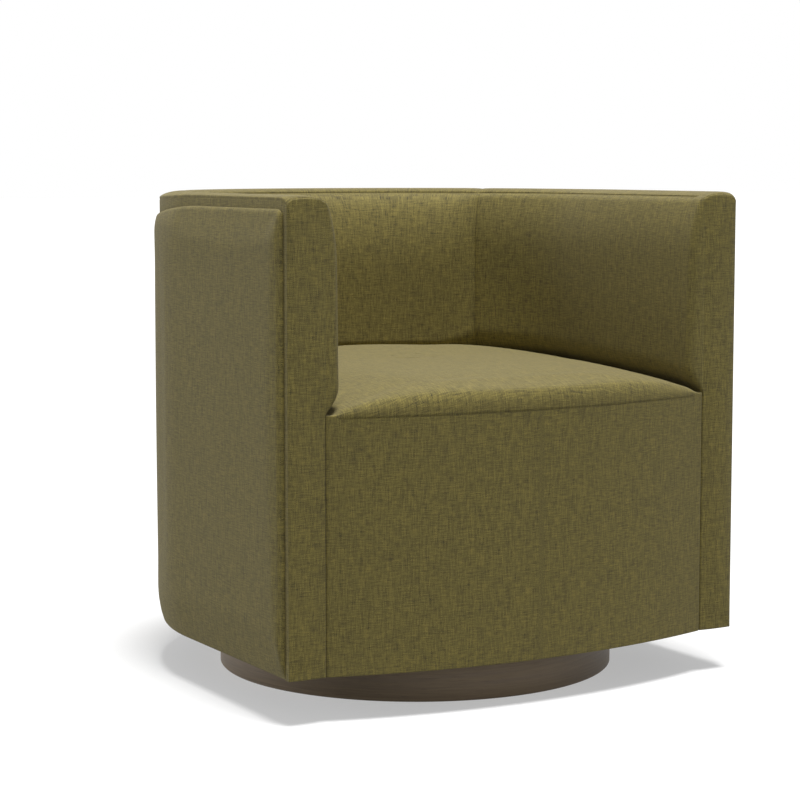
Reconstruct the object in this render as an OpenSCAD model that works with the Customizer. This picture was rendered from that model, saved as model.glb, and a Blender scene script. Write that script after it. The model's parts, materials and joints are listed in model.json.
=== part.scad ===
// Barrel lounge chair on a round swivel plinth, in millimetres.
// +Z is up, the sitter faces -Y, and the origin is on the floor below the middle of the chair.
// Left and right are as seen by someone who stands in front of the chair: left is -X.

/* [Shell] */
// Width of the shell over its outside cover, without the wrap panel
body_w = 744; // [720:4:780]
// Straight part of each arm, from its front face to the start of the round back
side_l = 335; // [315:5:375]
// Height of the top band's crown above the floor
body_h = 716; // [700:2:750]
// Width of each arm front below the seat
arm_w = 57; // [56:0.5:62]
// Width of the padded top band
top_w = 52; // [51:0.5:55]
// Rise of the top band's crown above its two seams
top_crown = 8; // [5:0.5:11]
// How far the inside pads swell into the chair beyond the arm front's width
pad_swell = 17; // [12:1:20]
// Where the inside seams lie, as an angle back from the start of the round back
seam_angle = 38; // [30:1:45]

/* [Wrap panel] */
// Thickness of the padded panel wrapped round the outside
wrap_t = 9; // [8:0.5:12]
// Rounding of the wrap panel's outer edges
wrap_r = 7; // [4:0.5:7]
// Set-back of the wrap panel from the arm fronts
wrap_set = 14; // [10:1:24]
// Drop of the wrap panel's top edge below the outer top seam
wrap_drop = 12; // [8:1:20]
// Rise of the wrap panel's bottom edge above the bottom of the shell
wrap_lift = 5; // [4:1:16]

/* [Seat] */
// Height of the seam along the front of the seat
seam_h = 418.5; // [400:0.5:430]
// Step from that seam up to the seat's edge beside the arm fronts
edge_step = 5.5; // [4:0.5:8]
// Climb of the seat's edge from the arm fronts to the back
edge_climb = 33; // [25:1:38]
// Crown of the seat over its edge line at the front
crown_front = 24; // [18:1:28]
// Crown of the seat over its edge line at the back
crown_back = 12; // [8:1:16]
// Depth of the roll along the seat's front edge
roll_d = 32; // [24:1:40]
// How far the front panel bows out beyond the arm fronts
front_bow = 48; // [36:1:60]
// Gap between the seat's edge and the inside pads
seat_gap = 1; // [0.8:0.1:2]
// Height at which the seat's base foam ends and its crown foam begins
foam_split = 410; // [396:1:412]

/* [Cloth and foam] */
// Thickness of the cover cloth with its backing
cover_t = 1.5; // [1.2:0.1:1.8]
// Gap left between curved soft pieces that lie on each other
soft_gap = 0.3; // [0.2:0.05:0.4]
// Foam on the outside of the shell
outer_pad_t = 8; // [6:0.5:8.5]
// Foam on the arm fronts
arm_pad_t = 10; // [6:1:14]
// Foam on the front panel
front_pad_t = 12; // [8:1:14]
// Width of the cover hem turned under the shell
hem_w = 20; // [12:1:30]
// Thickness of the dust cover
dust_t = 0.5; // [0.4:0.1:0.8]
// Set-back of the dust cover from the shell's edge
dust_set = 6; // [4:1:10]

/* [Timber frame] */
// Thickness of the inner and outer liner boards
liner_t = 3; // [2.5:0.5:3.5]
// Width of the U-shaped ribs
rib_w = 30; // [26:1:30]
// Thickness of the ribs, the seat frame and the deck board
rib_t = 18; // [15:1:20]
// Drop of the top rib below the top band's crown
rib_drop = 18; // [15:1:24]
// Height of the top of the seat frame above the floor
seat_frame_h = 320; // [290:5:330]
// Width of the seat frame's rails, inwards from the ribs
rail_w = 86; // [76:1:100]
// Thickness of the bowed front board
front_board_t = 9; // [6:0.5:12]
// Thickness of the arm front boards
arm_board_t = 12; // [9:1:15]
// Length of each arm post and stud along the wall
post_l = 40; // [30:1:50]

/* [Seat webbing] */
// Width of the webbing straps
strap_w = 50; // [40:1:55]
// Thickness of the webbing
strap_t = 1.5; // [1:0.1:2]
// Number of straps each way
strap_n = 5; // [4:1:5]
// Spacing of the straps
strap_pitch = 88; // [70:1:92]
// Length of each strap's end that is fixed on the frame
strap_lap = 20; // [12:1:22]

/* [Plinth] */
// Diameter of the round plinth
plinth_d = 598; // [560:2:620]
// Height of the plinth's rim
plinth_h = 52; // [44:1:60]
// Width of the plinth's rim
plinth_w = 24; // [20:1:30]
// Rounding of the rim's lower edge
plinth_r = 4; // [3:0.5:6]
// Thickness of the plinth's board
board_t = 18; // [15:1:20]
// Height of the floor glides below the rim
glide_t = 1; // [1:0.5:4]
// Diameter of the floor glides
glide_d = 14; // [10:1:14]
// Number of floor glides, and of glue blocks between them
glide_n = 8; // [6:1:10]
// Size of the glue blocks
block_s = 22; // [14:1:24]

/* [Swivel] */
// Set-back of the swivel's axis from the arm fronts
swivel_set = 304; // [280:1:330]
// Side of the square swivel plates
plate_w = 250; // [244:1:280]
// Corner radius of the swivel plates
plate_r = 20; // [12:1:24]
// Thickness of the swivel plates
plate_t = 2.5; // [2:0.25:3]
// Diameter of the bearing balls
ball_d = 8; // [7:0.5:9]
// Number of bearing balls
ball_n = 24; // [16:1:36]
// Diameter of the ball track
race_d = 180; // [170:1:184]
// Depth of the ball track in each plate
race_depth = 0.5; // [0.4:0.1:0.8]
// Radial play of the balls in the track and in the cage
ball_play = 0.05; // [0.03:0.01:0.1]
// Diameter of the pivot bolt
pivot_d = 16; // [12:1:18]
// Wall of the pivot's bush
bush_wall = 2; // [1.5:0.25:3]
// Diameter of the bolts that hold the upper plate
bolt_d = 8; // [6:0.5:8]
// Diameter of the screws that hold the lower plate
screw_d = 5; // [4:0.5:6]
// Distance of the plate fixings from the plate's edge
fixing_set = 18; // [14:1:20]

/* [Hidden] */

$fn = 180;
LEFT = -1;
RIGHT = 1;

// Plan of the shell: two straight sides and a half-round back
half_w = body_w / 2;
depth = front_bow + side_l + half_w + wrap_t;
arm_y = -depth / 2 + front_bow;
arc_y = arm_y + side_l;
swivel_y = arm_y + swivel_set;

// Plan of the front panel: an arc between the two arms
panel_half = half_w - arm_w;
bow_r = (panel_half * panel_half + front_bow * front_bow) / (2 * front_bow);
bow_y = arm_y - front_bow + bow_r;

// Layers of the wall, as distances in from the outside cover's face
skin = cover_t + soft_gap;
outer_liner_d = skin + outer_pad_t + soft_gap;
rib_d = outer_liner_d + liner_t + soft_gap;
inner_liner_d = rib_d + rib_w + soft_gap;
inside_foam_d = inner_liner_d + liner_t + soft_gap;

// Layers of the front panel, as distances in from its cover's face
front_board_d = skin + front_pad_t + soft_gap;
frame_front_d = front_board_d + front_board_t + soft_gap;

// Layers of the arm fronts
arm_pad_y = arm_y + cover_t;
arm_board_y = arm_pad_y + arm_pad_t;
post_y = arm_board_y + arm_board_t;

// Heights, from the floor up
crown_foam_t = 8;
plinth_top = glide_t + plinth_h;
lower_plate_top = plinth_top + plate_t;
ball_z = lower_plate_top - race_depth + ball_d / 2;
upper_plate_z = ball_z + ball_d / 2 - race_depth;
deck_z = upper_plate_z + plate_t;
deck_top = deck_z + rib_t;
shell_z = deck_z - cover_t;
frame_top = seat_frame_h;
strap_z = frame_top + 2 * strap_t;
split_z = min(foam_split, seam_h - crown_foam_t);
edge_z = seam_h + edge_step;
seam_z = body_h - top_crown;
top_rib_z = body_h - rib_drop - rib_t;
rib_top = top_rib_z + rib_t;
mid_rib_z = (frame_top + top_rib_z - rib_t) / 2;

// The inside pads swell between the seat and the top seam
tuck_z = seam_h;
inner_seam_d = top_w + 1;
swell_flatness = 4;
swell_power = 0.7;
crown_power = 0.75;
// The top band's outer seam lies this much lower, and its inner seam this much higher
seam_tilt = 1.5;

function mix(a, b, t) = a + (b - a) * t;
function clamp01(t) = min(max(t, 0), 1);
function reversed(list) = [for (i = [len(list) - 1:-1:0]) list[i]];

// Distance of the inside cover's face in from the outside cover's face, at height z
function wall_in(z) =
    let (t = clamp01((z - tuck_z) / (seam_z - tuck_z)))
    mix(arm_w, inner_seam_d, t) + pad_swell * pow(1 - pow(abs(2 * t - 1), swell_flatness), swell_power);

// Height of the top band's face at distance d in from the outside cover's face
function crown_z(d) =
    let (t = clamp01(d / top_w))
    mix(seam_z - seam_tilt, seam_z + seam_tilt, t) + top_crown * pow(1 - pow(2 * t - 1, 2), crown_power);

// Height of the seat's edge line at y, and the seat's crown above it
climb_l = 500;
climb_power = 0.6;
crown_l = 300;
side_fall_l = 200;
side_power = 2.4;
function edge_line(y) = edge_z + edge_climb * pow(clamp01((y - arm_y) / climb_l), climb_power);
function side_gap(x, y) =
    let (r = half_w - wall_in(edge_line(y)))
    y < arc_y ? r - abs(x) : r - norm([x, y - arc_y]);
function front_gap(x, y) = bow_r - norm([x, y - bow_y]);
function seat_top(x, y) =
    let (
        high = mix(crown_front, crown_back, clamp01((y - arm_y) / crown_l)),
        side = 1 - pow(1 - clamp01(side_gap(x, y) / side_fall_l), side_power),
        roll = sqrt(1 - pow(1 - clamp01(front_gap(x, y) / roll_d), 2))
    )
    mix(seam_h, edge_line(y) + high * side, roll);

// The seat's edge, one ring of points at inset o from its cover's face. The ring stands at share t of
// the way up from the seam to the edge line, and its front part at the same share of the way up the roll.
BACK_N = 22;
SIDE_N = 6;
FRONT_N = 12;
edge_reach = half_w - arm_w - pad_swell;
function edge_r(z, o) = half_w - wall_in(z) - seat_gap - o;
function bow_front(x, f) = bow_y - sqrt(pow(bow_r - f, 2) - x * x);
function seat_ring(t, o) =
    let (
        f = roll_d * (1 - sqrt(1 - t * t)),
        corner_y = bow_front(panel_half - o, f + o),
        corner_x = edge_r(mix(seam_h, edge_line(corner_y), t), o),
        ys = [for (i = [1:SIDE_N]) mix(corner_y, arc_y, i / SIDE_N)],
        side = [for (y = ys) let (z = mix(seam_h, edge_line(y), t)) [edge_r(z, o), y, z - o * t]]
    )
    concat(
        side,
        [for (i = [1:BACK_N - 1])
            let (a = 180 * i / BACK_N, z = mix(seam_h, edge_line(arc_y + edge_reach * sin(a)), t))
            [edge_r(z, o) * cos(a), arc_y + edge_r(z, o) * sin(a), z - o * t]],
        [for (p = reversed(side)) [-p[0], p[1], p[2]]],
        [for (i = [0:FRONT_N])
            let (x = mix(-corner_x, corner_x, i / FRONT_N), y = bow_front(x, f + o))
            [x, y, t == 0 ? seam_h : seat_top(x, y - o) - o * t]]
    );

// A ring that closes in on the middle of the seat, at share k of the edge ring's size
mid_set = 20;
SEAT_MID = [0, arc_y - mid_set];
function towards_mid(p, k) = [SEAT_MID[0] + (p[0] - SEAT_MID[0]) * k, SEAT_MID[1] + (p[1] - SEAT_MID[1]) * k];
function inner_ring(face_edge, edge, k, o) =
    [for (i = [0:len(edge) - 1])
        let (q = towards_mid(face_edge[i], k), p = towards_mid(edge[i], k))
        [p[0], p[1], seat_top(q[0], q[1]) - o]];

// Shares of the way up the seat's edge, and of the way out from its middle, at which the rings lie
EDGE_STEPS = [0, 0.15, 0.4, 0.7, 0.9, 1];
INNER_STEPS = [0.965, 0.91, 0.82, 0.68, 0.48, 0.24];
function seat_rings(o) =
    let (face_edge = seat_ring(1, 0), edge = seat_ring(1, o))
    concat(
        [for (t = EDGE_STEPS) seat_ring(t, o)],
        [for (k = INNER_STEPS) inner_ring(face_edge, edge, k, o)]
    );

// Faces between ring a and ring b, whose points start at those numbers in the list
function ring_faces(a, b, n) =
    [for (i = [0:n - 1]) let (j = (i + 1) % n) each [[a + i, b + i, b + j], [a + i, b + j, a + j]]];
function flipped(faces) = [for (f = faces) reversed(f)];

// Plan shapes
module wall_plan(d) {
    r = half_w - d;
    translate([0, arc_y]) circle(r);
    translate([-r, arc_y - depth]) square([2 * r, depth]);
}

module bow_plan(d) {
    translate([0, bow_y]) circle(bow_r - d, $fn = 720);
}

module seat_plan(d, front_d) {
    intersection() {
        wall_plan(d);
        bow_plan(front_d);
    }
}

module arm_strips(d, y0) {
    for (s = [LEFT, RIGHT])
        translate([s > 0 ? panel_half : -(half_w - d), y0]) square([arm_w - d, arc_y - y0]);
}

module frame_plan() {
    seat_plan(rib_d, frame_front_d);
    arm_strips(rib_d, post_y);
}

// A wall piece's outline has the distance in from the outside cover as x and the height as y
module on_side(s) {
    if (s == RIGHT) children();
    else mirror([1, 0, 0]) children();
}

module wall_outline() {
    translate([half_w, 0]) mirror([1, 0]) children();
}

module along_side(y0) {
    translate([0, arc_y, 0]) rotate([90, 0, 0]) linear_extrude(arc_y - y0) wall_outline() children();
}

module along_arc(a0, a1) {
    translate([0, arc_y, 0]) rotate([0, 0, a0])
        rotate_extrude(angle = a1 - a0) wall_outline() children();
}

// From y0 along one side and round the back, either to the seam on that side or all the way
module along_arm(s, y0) {
    on_side(s) {
        along_side(y0) children();
        along_arc(0, seam_angle) children();
    }
}

module along_back() {
    part_angle = soft_gap / (half_w - top_w) * 180 / PI;
    along_arc(seam_angle + part_angle, 180 - seam_angle - part_angle) children();
}

module along_wall(y0) {
    for (s = [LEFT, RIGHT]) on_side(s) along_side(y0) children();
    along_arc(0, 180) children();
}

module wall_slab(d0, d1, z0, z1) {
    translate([d0, z0]) square([d1 - d0, z1 - z0]);
}

// Outlines with curved faces
INSIDE_N = 18;
CROWN_N = 14;
inside_top = crown_z(top_w) - cover_t - soft_gap;
function inside_face(z0, z1, o) =
    [for (i = [0:INSIDE_N])
        let (t = (1 - cos(180 * i / INSIDE_N)) / 2, z = mix(z0, z1, t)) [wall_in(z) - o, z]];
function crown_face(d0, d1, o) =
    [for (i = [0:CROWN_N])
        let (d = mix(d0, d1, (1 - cos(180 * i / CROWN_N)) / 2)) [d, crown_z(d) - o]];

module inside_cover_outline() {
    low = frame_top + soft_gap;
    polygon(concat(
        [[arm_w, low]], inside_face(tuck_z, inside_top, 0),
        reversed(inside_face(tuck_z, inside_top, cover_t)), [[arm_w - cover_t, low]]
    ));
}

module inside_foam_outline() {
    low = frame_top;
    lip = top_w - cover_t - soft_gap;
    polygon(concat(
        [[inside_foam_d, low], [arm_w - skin, low]], inside_face(tuck_z, inside_top, skin),
        [[lip - skin / 2, inside_top], [lip - skin / 2, rib_top], [inside_foam_d, rib_top]]
    ));
}

module top_cover_outline() {
    polygon(concat(crown_face(0, top_w, 0), reversed(crown_face(0, top_w, cover_t))));
}

module top_foam_outline() {
    lip = top_w - 2 * skin;
    polygon(concat([[skin, rib_top]], crown_face(skin, lip, skin), [[lip, rib_top]]));
}

// The whole section of an arm, inset by o
module arm_outline(o, z0) {
    polygon(concat(
        [[o, z0]], crown_face(o, top_w - o, o),
        reversed(inside_face(tuck_z, inside_top - o, o)), [[arm_w - o, z0]]
    ));
}

module arm_front(s, y0, t, o, z0) {
    on_side(s) translate([0, y0 + t, 0]) rotate([90, 0, 0])
        linear_extrude(t) wall_outline() arm_outline(o, z0);
}

// Plinth
module plinth_rim() {
    r = plinth_d / 2;
    ledge = plinth_w / 2;
    color([0.30, 0.24, 0.20])
    difference() {
        translate([0, swivel_y, 0]) rotate_extrude() difference() {
            union() {
                translate([r - plinth_w, glide_t]) square([plinth_w - plinth_r, plinth_h]);
                translate([r - plinth_w, glide_t + plinth_r]) square([plinth_w, plinth_h - plinth_r]);
                translate([r - plinth_r, glide_t + plinth_r]) circle(plinth_r, $fn = 48);
            }
            translate([r - plinth_w - 1, plinth_top - board_t]) square([ledge + 1, board_t + 1]);
        }
        glide_pins(soft_gap);
    }
}

glide_r = plinth_d / 2 - (plinth_w + plinth_r) / 2;
module around_plinth(n, r, a0) {
    translate([0, swivel_y, 0])
        for (i = [0:n - 1]) rotate([0, 0, a0 + 360 * i / n]) translate([r, 0, 0]) children();
}

pin_d = 3;
pin_l = 14;
module glide_pins(play) {
    around_plinth(glide_n, glide_r, 0)
        translate([0, 0, glide_t - play]) cylinder(d = pin_d + play, h = pin_l + play, $fn = 24);
}

module plinth_board() {
    color([0.62, 0.50, 0.36])
    translate([0, 0, plinth_top - board_t]) difference() {
        translate([0, swivel_y, 0]) cylinder(r = plinth_d / 2 - plinth_w / 2 - soft_gap, h = board_t);
        translate([0, swivel_y, -1]) cylinder(d = pivot_hole_d, h = board_t + 2, $fn = 64);
        at_corners(fixing_r) translate([0, 0, -1])
            cylinder(d = screw_d + 2 * ball_play, h = board_t + 2, $fn = 32);
        translate([0, swivel_y + access_r, -1]) cylinder(d = access_d, h = board_t + 2, $fn = 48);
    }
}

module glue_blocks() {
    inner = plinth_d / 2 - plinth_w - soft_gap;
    face = sqrt(inner * inner - block_s * block_s);
    color([0.70, 0.58, 0.42])
    translate([0, swivel_y, plinth_top - board_t - block_s])
        for (i = [0:glide_n - 1]) rotate([0, 0, 360 * (i + 0.5) / glide_n])
            translate([face - block_s, -block_s, 0]) cube([block_s, 2 * block_s, block_s]);
}

module floor_glides() {
    color([0.12, 0.12, 0.12]) {
        around_plinth(glide_n, glide_r, 0) cylinder(d = glide_d, h = glide_t, $fn = 48);
        glide_pins(0);
    }
}

// Swivel plates, with a ball track in each
access_d = 24;
access_r = race_d / 2 - ball_d - access_d;
pivot_hole_d = 3 * pivot_d;
fixing_r = plate_w / 2 - fixing_set;
module swivel_plate(z, hole_d) {
    half = plate_w / 2;
    difference() {
        translate([0, swivel_y, z]) linear_extrude(plate_t) {
            square([plate_w, plate_w - 2 * plate_r], center = true);
            square([plate_w - 2 * plate_r, plate_w], center = true);
            for (sx = [-1, 1], sy = [-1, 1])
                translate([sx * (half - plate_r), sy * (half - plate_r)]) circle(plate_r, $fn = 64);
        }
        translate([0, swivel_y, z - 1]) cylinder(d = hole_d, h = plate_t + 2, $fn = 64);
        translate([0, swivel_y, ball_z]) rotate_extrude()
            translate([race_d / 2, 0]) circle(ball_d / 2 + ball_play, $fn = 48);
    }
}

module at_corners(r) {
    translate([0, swivel_y, 0])
        for (sx = [-1, 1], sy = [-1, 1]) translate([sx * r, sy * r, 0]) children();
}

module on_axes(r) {
    translate([0, swivel_y, 0]) for (i = [0:3]) rotate([0, 0, 90 * i]) translate([r, 0, 0]) children();
}

module lower_swivel_plate() {
    color([0.55, 0.56, 0.58])
    difference() {
        swivel_plate(plinth_top, pivot_d + 2 * ball_play);
        at_corners(fixing_r) translate([0, 0, plinth_top - 1])
            cylinder(d = screw_d + 2 * ball_play, h = plate_t + 2, $fn = 32);
        translate([0, swivel_y + access_r, plinth_top - 1])
            cylinder(d = access_d, h = plate_t + 2, $fn = 48);
    }
}

screw_head_h = 2.4;
module lower_plate_screws() {
    tip = screw_d / 2;
    color([0.72, 0.72, 0.74])
    at_corners(fixing_r) {
        translate([0, 0, lower_plate_top])
            cylinder(d1 = 2 * screw_d, d2 = 1.5 * screw_d, h = screw_head_h, $fn = 48);
        translate([0, 0, plinth_top - board_t + tip + 1])
            cylinder(d = screw_d, h = lower_plate_top - plinth_top + board_t - tip - 1, $fn = 32);
        translate([0, 0, plinth_top - board_t + 1])
            cylinder(d1 = 1, d2 = screw_d, h = tip, $fn = 32);
    }
}

// Pivot: the bolt stands on the plinth, and the bush turns with the chair
bush_flange_t = 1.5;
washer_t = 2;
nut_h = 12;
bolt_head_h = 6;
thread_out = 2;
hex_d = 1.8 * pivot_d;
flange_d = 1.9 * pivot_d;
washer_d = 2.1 * pivot_d;
bush_top = deck_z + bush_flange_t;
washer_z = bush_top + ball_play;
nut_z = washer_z + washer_t;
module pivot_bolt() {
    color([0.66, 0.67, 0.70])
    translate([0, swivel_y, 0]) {
        translate([0, 0, plinth_top - bolt_head_h])
            cylinder(d = hex_d, h = bolt_head_h, $fn = 6);
        translate([0, 0, plinth_top])
            cylinder(d = pivot_d, h = nut_z + nut_h + thread_out - plinth_top, $fn = 64);
    }
}

module pivot_washer() {
    color([0.72, 0.72, 0.74])
    translate([0, swivel_y, washer_z]) difference() {
        cylinder(d = washer_d, h = washer_t, $fn = 64);
        translate([0, 0, -1]) cylinder(d = pivot_d + 2 * ball_play, h = washer_t + 2, $fn = 64);
    }
}

module pivot_nut() {
    color([0.66, 0.67, 0.70])
    translate([0, swivel_y, nut_z]) difference() {
        cylinder(d = hex_d, h = nut_h, $fn = 6);
        translate([0, 0, -1]) cylinder(d = pivot_d + 2 * ball_play, h = nut_h + 2, $fn = 64);
    }
}

module pivot_bush() {
    bore = pivot_d + 2 * ball_play;
    color([0.90, 0.89, 0.84])
    translate([0, swivel_y, 0]) difference() {
        union() {
            translate([0, 0, upper_plate_z]) cylinder(d = bore + 2 * bush_wall, h = plate_t, $fn = 64);
            translate([0, 0, deck_z]) cylinder(d = flange_d, h = bush_flange_t, $fn = 64);
        }
        translate([0, 0, upper_plate_z - 1]) cylinder(d = bore, h = plate_t + bush_flange_t + 2, $fn = 64);
    }
}

module bearing_cage() {
    cage_t = 2;
    cage_w = 3 * ball_d;
    color([0.85, 0.83, 0.76])
    difference() {
        translate([0, swivel_y, ball_z - cage_t / 2]) difference() {
            cylinder(d = race_d + cage_w, h = cage_t);
            translate([0, 0, -1]) cylinder(d = race_d - cage_w, h = cage_t + 2);
        }
        around_race() translate([0, 0, ball_z - cage_t])
            cylinder(d = ball_d + 2 * ball_play, h = 2 * cage_t, $fn = 36);
    }
}

module around_race() {
    translate([0, swivel_y, 0])
        for (i = [0:ball_n - 1]) rotate([0, 0, 360 * i / ball_n]) translate([race_d / 2, 0, 0]) children();
}

module bearing_balls() {
    color([0.80, 0.80, 0.82])
    around_race() translate([0, 0, ball_z]) sphere(d = ball_d, $fn = 24);
}

bolt_head = 2.5;
module upper_swivel_plate() {
    color([0.55, 0.56, 0.58])
    difference() {
        swivel_plate(upper_plate_z, pivot_d + 2 * ball_play + 2 * bush_wall + 2 * ball_play);
        on_axes(access_r) translate([0, 0, upper_plate_z - 1])
            cylinder(d = bolt_d + 2 * ball_play, h = plate_t + 2, $fn = 48);
    }
}

tee_barrel_d = bolt_d + 3;
tee_barrel_h = 11;
tee_flange_t = 1.5;
module upper_plate_bolts() {
    color([0.66, 0.67, 0.70])
    on_axes(access_r) {
        translate([0, 0, upper_plate_z - bolt_head]) cylinder(d = 2 * bolt_d, h = bolt_head, $fn = 48);
        translate([0, 0, upper_plate_z]) cylinder(d = bolt_d, h = plate_t + rib_t + thread_out, $fn = 48);
    }
}

module tee_nuts() {
    color([0.72, 0.72, 0.74])
    on_axes(access_r) difference() {
        union() {
            translate([0, 0, deck_top]) cylinder(d = 2.6 * bolt_d, h = tee_flange_t, $fn = 48);
            translate([0, 0, deck_top - tee_barrel_h]) cylinder(d = tee_barrel_d, h = tee_barrel_h, $fn = 48);
        }
        translate([0, 0, deck_top - tee_barrel_h - 1])
            cylinder(d = bolt_d + 2 * ball_play, h = tee_barrel_h + tee_flange_t + 2, $fn = 48);
    }
}

// Timber frame
module deck_board() {
    color([0.66, 0.55, 0.40])
    difference() {
        translate([0, 0, deck_z]) linear_extrude(rib_t) frame_plan();
        translate([0, swivel_y, deck_z - 1]) cylinder(d = pivot_hole_d, h = rib_t + 2, $fn = 64);
        on_axes(access_r) translate([0, 0, deck_z - 1]) {
            cylinder(d = bolt_d + 2 * ball_play, h = rib_t + 2, $fn = 48);
            translate([0, 0, rib_t - tee_barrel_h + 1])
                cylinder(d = tee_barrel_d + 2 * ball_play, h = tee_barrel_h + 1, $fn = 48);
        }
    }
}

module post_plan(play) {
    translate([half_w - rib_d - rib_w - play, post_y - play])
        square([rib_w + 2 * play, post_l + 2 * play]);
}

module seat_frame() {
    color([0.70, 0.58, 0.42])
    translate([0, 0, frame_top - rib_t]) linear_extrude(rib_t) difference() {
        frame_plan();
        seat_plan(rib_d + rail_w, frame_front_d + rail_w / 2);
        for (s = [0, 1]) mirror([s, 0]) post_plan(soft_gap);
    }
}

module mid_rib() {
    color([0.70, 0.58, 0.42])
    along_wall(post_y + post_l) wall_slab(rib_d, rib_d + rib_w, mid_rib_z, mid_rib_z + rib_t);
}

module top_rib() {
    color([0.70, 0.58, 0.42])
    along_wall(post_y) wall_slab(rib_d, rib_d + rib_w, top_rib_z, rib_top);
}

module arm_post(s) {
    color([0.74, 0.62, 0.46])
    on_side(s) translate([0, 0, deck_top]) linear_extrude(top_rib_z - deck_top) post_plan(0);
}

module left_arm_post() { arm_post(LEFT); }
module right_arm_post() { arm_post(RIGHT); }

// Studs stand on the wall's line: one in each side and a row round the back
stud_n = 5;
module studs(z0, z1) {
    inset = 2;
    wide = rib_w - 2 * inset;
    r = half_w - rib_d - rib_w + inset;
    for (s = [0, 1]) mirror([s, 0, 0])
        translate([r, (post_y + post_l + arc_y) / 2, z0]) cube([wide, post_l, z1 - z0]);
    translate([0, arc_y, z0])
        for (i = [0:stud_n - 1]) rotate([0, 0, 180 * (i + 0.5) / stud_n])
            translate([r, -post_l / 2, 0]) cube([wide, post_l, z1 - z0]);
}

module lower_studs() { color([0.74, 0.62, 0.46]) studs(deck_top, frame_top - rib_t); }
module middle_studs() { color([0.74, 0.62, 0.46]) studs(frame_top, mid_rib_z); }
module upper_studs() { color([0.74, 0.62, 0.46]) studs(mid_rib_z + rib_t, top_rib_z); }

module front_band(d0, d1, z0, z1) {
    wide = panel_half - soft_gap;
    translate([0, 0, z0]) linear_extrude(z1 - z0) intersection() {
        difference() {
            bow_plan(d0);
            bow_plan(d1);
        }
        translate([-wide, arm_y - 2 * front_bow]) square([2 * wide, 4 * front_bow]);
    }
}

module front_board() {
    color([0.66, 0.55, 0.40])
    front_band(front_board_d, front_board_d + front_board_t, deck_z, split_z - soft_gap);
}

module arm_board(s) { color([0.66, 0.55, 0.40]) arm_front(s, arm_board_y, arm_board_t, skin, deck_z); }
module left_arm_board() { arm_board(LEFT); }
module right_arm_board() { arm_board(RIGHT); }

module outer_liner() {
    color([0.50, 0.38, 0.26])
    along_wall(post_y) wall_slab(outer_liner_d, outer_liner_d + liner_t, deck_z, rib_top);
}

module inner_liner() {
    color([0.50, 0.38, 0.26])
    along_wall(post_y) wall_slab(inner_liner_d, inner_liner_d + liner_t, frame_top, rib_top);
}

// Webbing across the seat frame's window
strap_reach = half_w - rib_d - rail_w + strap_lap;
strap_mid_y = arc_y - side_l / 2 + half_w / 4;
function strap_place(i) = (i - (strap_n - 1) / 2) * strap_pitch;
module lengthwise_webbing() {
    color([0.20, 0.20, 0.22])
    for (i = [0:strap_n - 1])
        let (
            x = strap_place(i),
            far = abs(x) + strap_w / 2,
            front_r = bow_r - frame_front_d - rail_w / 2 + strap_lap,
            y0 = bow_y - sqrt(front_r * front_r - far * far),
            y1 = arc_y + sqrt(strap_reach * strap_reach - far * far)
        )
        translate([x - strap_w / 2, y0, frame_top]) cube([strap_w, y1 - y0, strap_t]);
}

module crosswise_webbing() {
    color([0.26, 0.26, 0.28])
    for (i = [0:strap_n - 1])
        let (
            y = strap_mid_y + strap_place(i),
            far = max(y + strap_w / 2 - arc_y, 0),
            reach = sqrt(strap_reach * strap_reach - far * far)
        )
        translate([-reach, y - strap_w / 2, frame_top + strap_t]) cube([2 * reach, strap_w, strap_t]);
}

module dust_cover() {
    hole_r = sqrt(2) * (plate_w / 2 - plate_r) + plate_r + 4;
    color([0.08, 0.08, 0.08])
    translate([0, 0, shell_z - dust_t]) linear_extrude(dust_t) difference() {
        union() {
            seat_plan(dust_set, dust_set);
            arm_strips(dust_set, arm_y + dust_set);
        }
        translate([0, swivel_y]) circle(hole_r);
    }
}

// Seat
module seat_foam_base() {
    color([0.93, 0.90, 0.80])
    translate([0, 0, strap_z]) linear_extrude(split_z - strap_z)
        seat_plan(arm_w + soft_gap, frame_front_d);
}

module seat_foam_crown() {
    o = skin;
    upper = seat_rings(o);
    rings = concat([[for (p = upper[0]) [p[0], p[1], split_z]]], upper);
    n = len(rings[0]);
    last = len(rings) - 1;
    mid_z = seat_top(SEAT_MID[0], SEAT_MID[1]) - o;
    top_mid = [SEAT_MID[0], SEAT_MID[1], mid_z];
    low_mid = [SEAT_MID[0], SEAT_MID[1], split_z];
    points = concat([for (r = rings) each r], [top_mid, low_mid]);
    top_i = len(rings) * n;
    color([0.95, 0.92, 0.84])
    polyhedron(points, concat(
        [for (k = [0:last - 1]) each ring_faces(k * n, (k + 1) * n, n)],
        [for (i = [0:n - 1]) [last * n + i, top_i, last * n + (i + 1) % n]],
        [for (i = [0:n - 1]) [i, (i + 1) % n, top_i + 1]]
    ));
}

module seat_cover() {
    outer = seat_rings(0);
    inner = seat_rings(cover_t);
    n = len(outer[0]);
    rows = len(outer);
    last = rows - 1;
    top = seat_top(SEAT_MID[0], SEAT_MID[1]);
    points = concat(
        [for (r = outer) each r], [[SEAT_MID[0], SEAT_MID[1], top]],
        [for (r = inner) each r], [[SEAT_MID[0], SEAT_MID[1], top - cover_t]]
    );
    b = rows * n + 1;
    color([0.47, 0.43, 0.28])
    polyhedron(points, concat(
        [for (k = [0:last - 1]) each ring_faces(k * n, (k + 1) * n, n)],
        [for (i = [0:n - 1]) [last * n + i, rows * n, last * n + (i + 1) % n]],
        flipped([for (k = [0:last - 1]) each ring_faces(b + k * n, b + (k + 1) * n, n)]),
        [for (i = [0:n - 1]) [b + last * n + (i + 1) % n, b + rows * n, b + last * n + i]],
        flipped(ring_faces(0, b, n))
    ));
}

module front_panel_foam() {
    color([0.93, 0.90, 0.80]) front_band(skin, skin + front_pad_t, deck_z, split_z - soft_gap);
}

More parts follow.
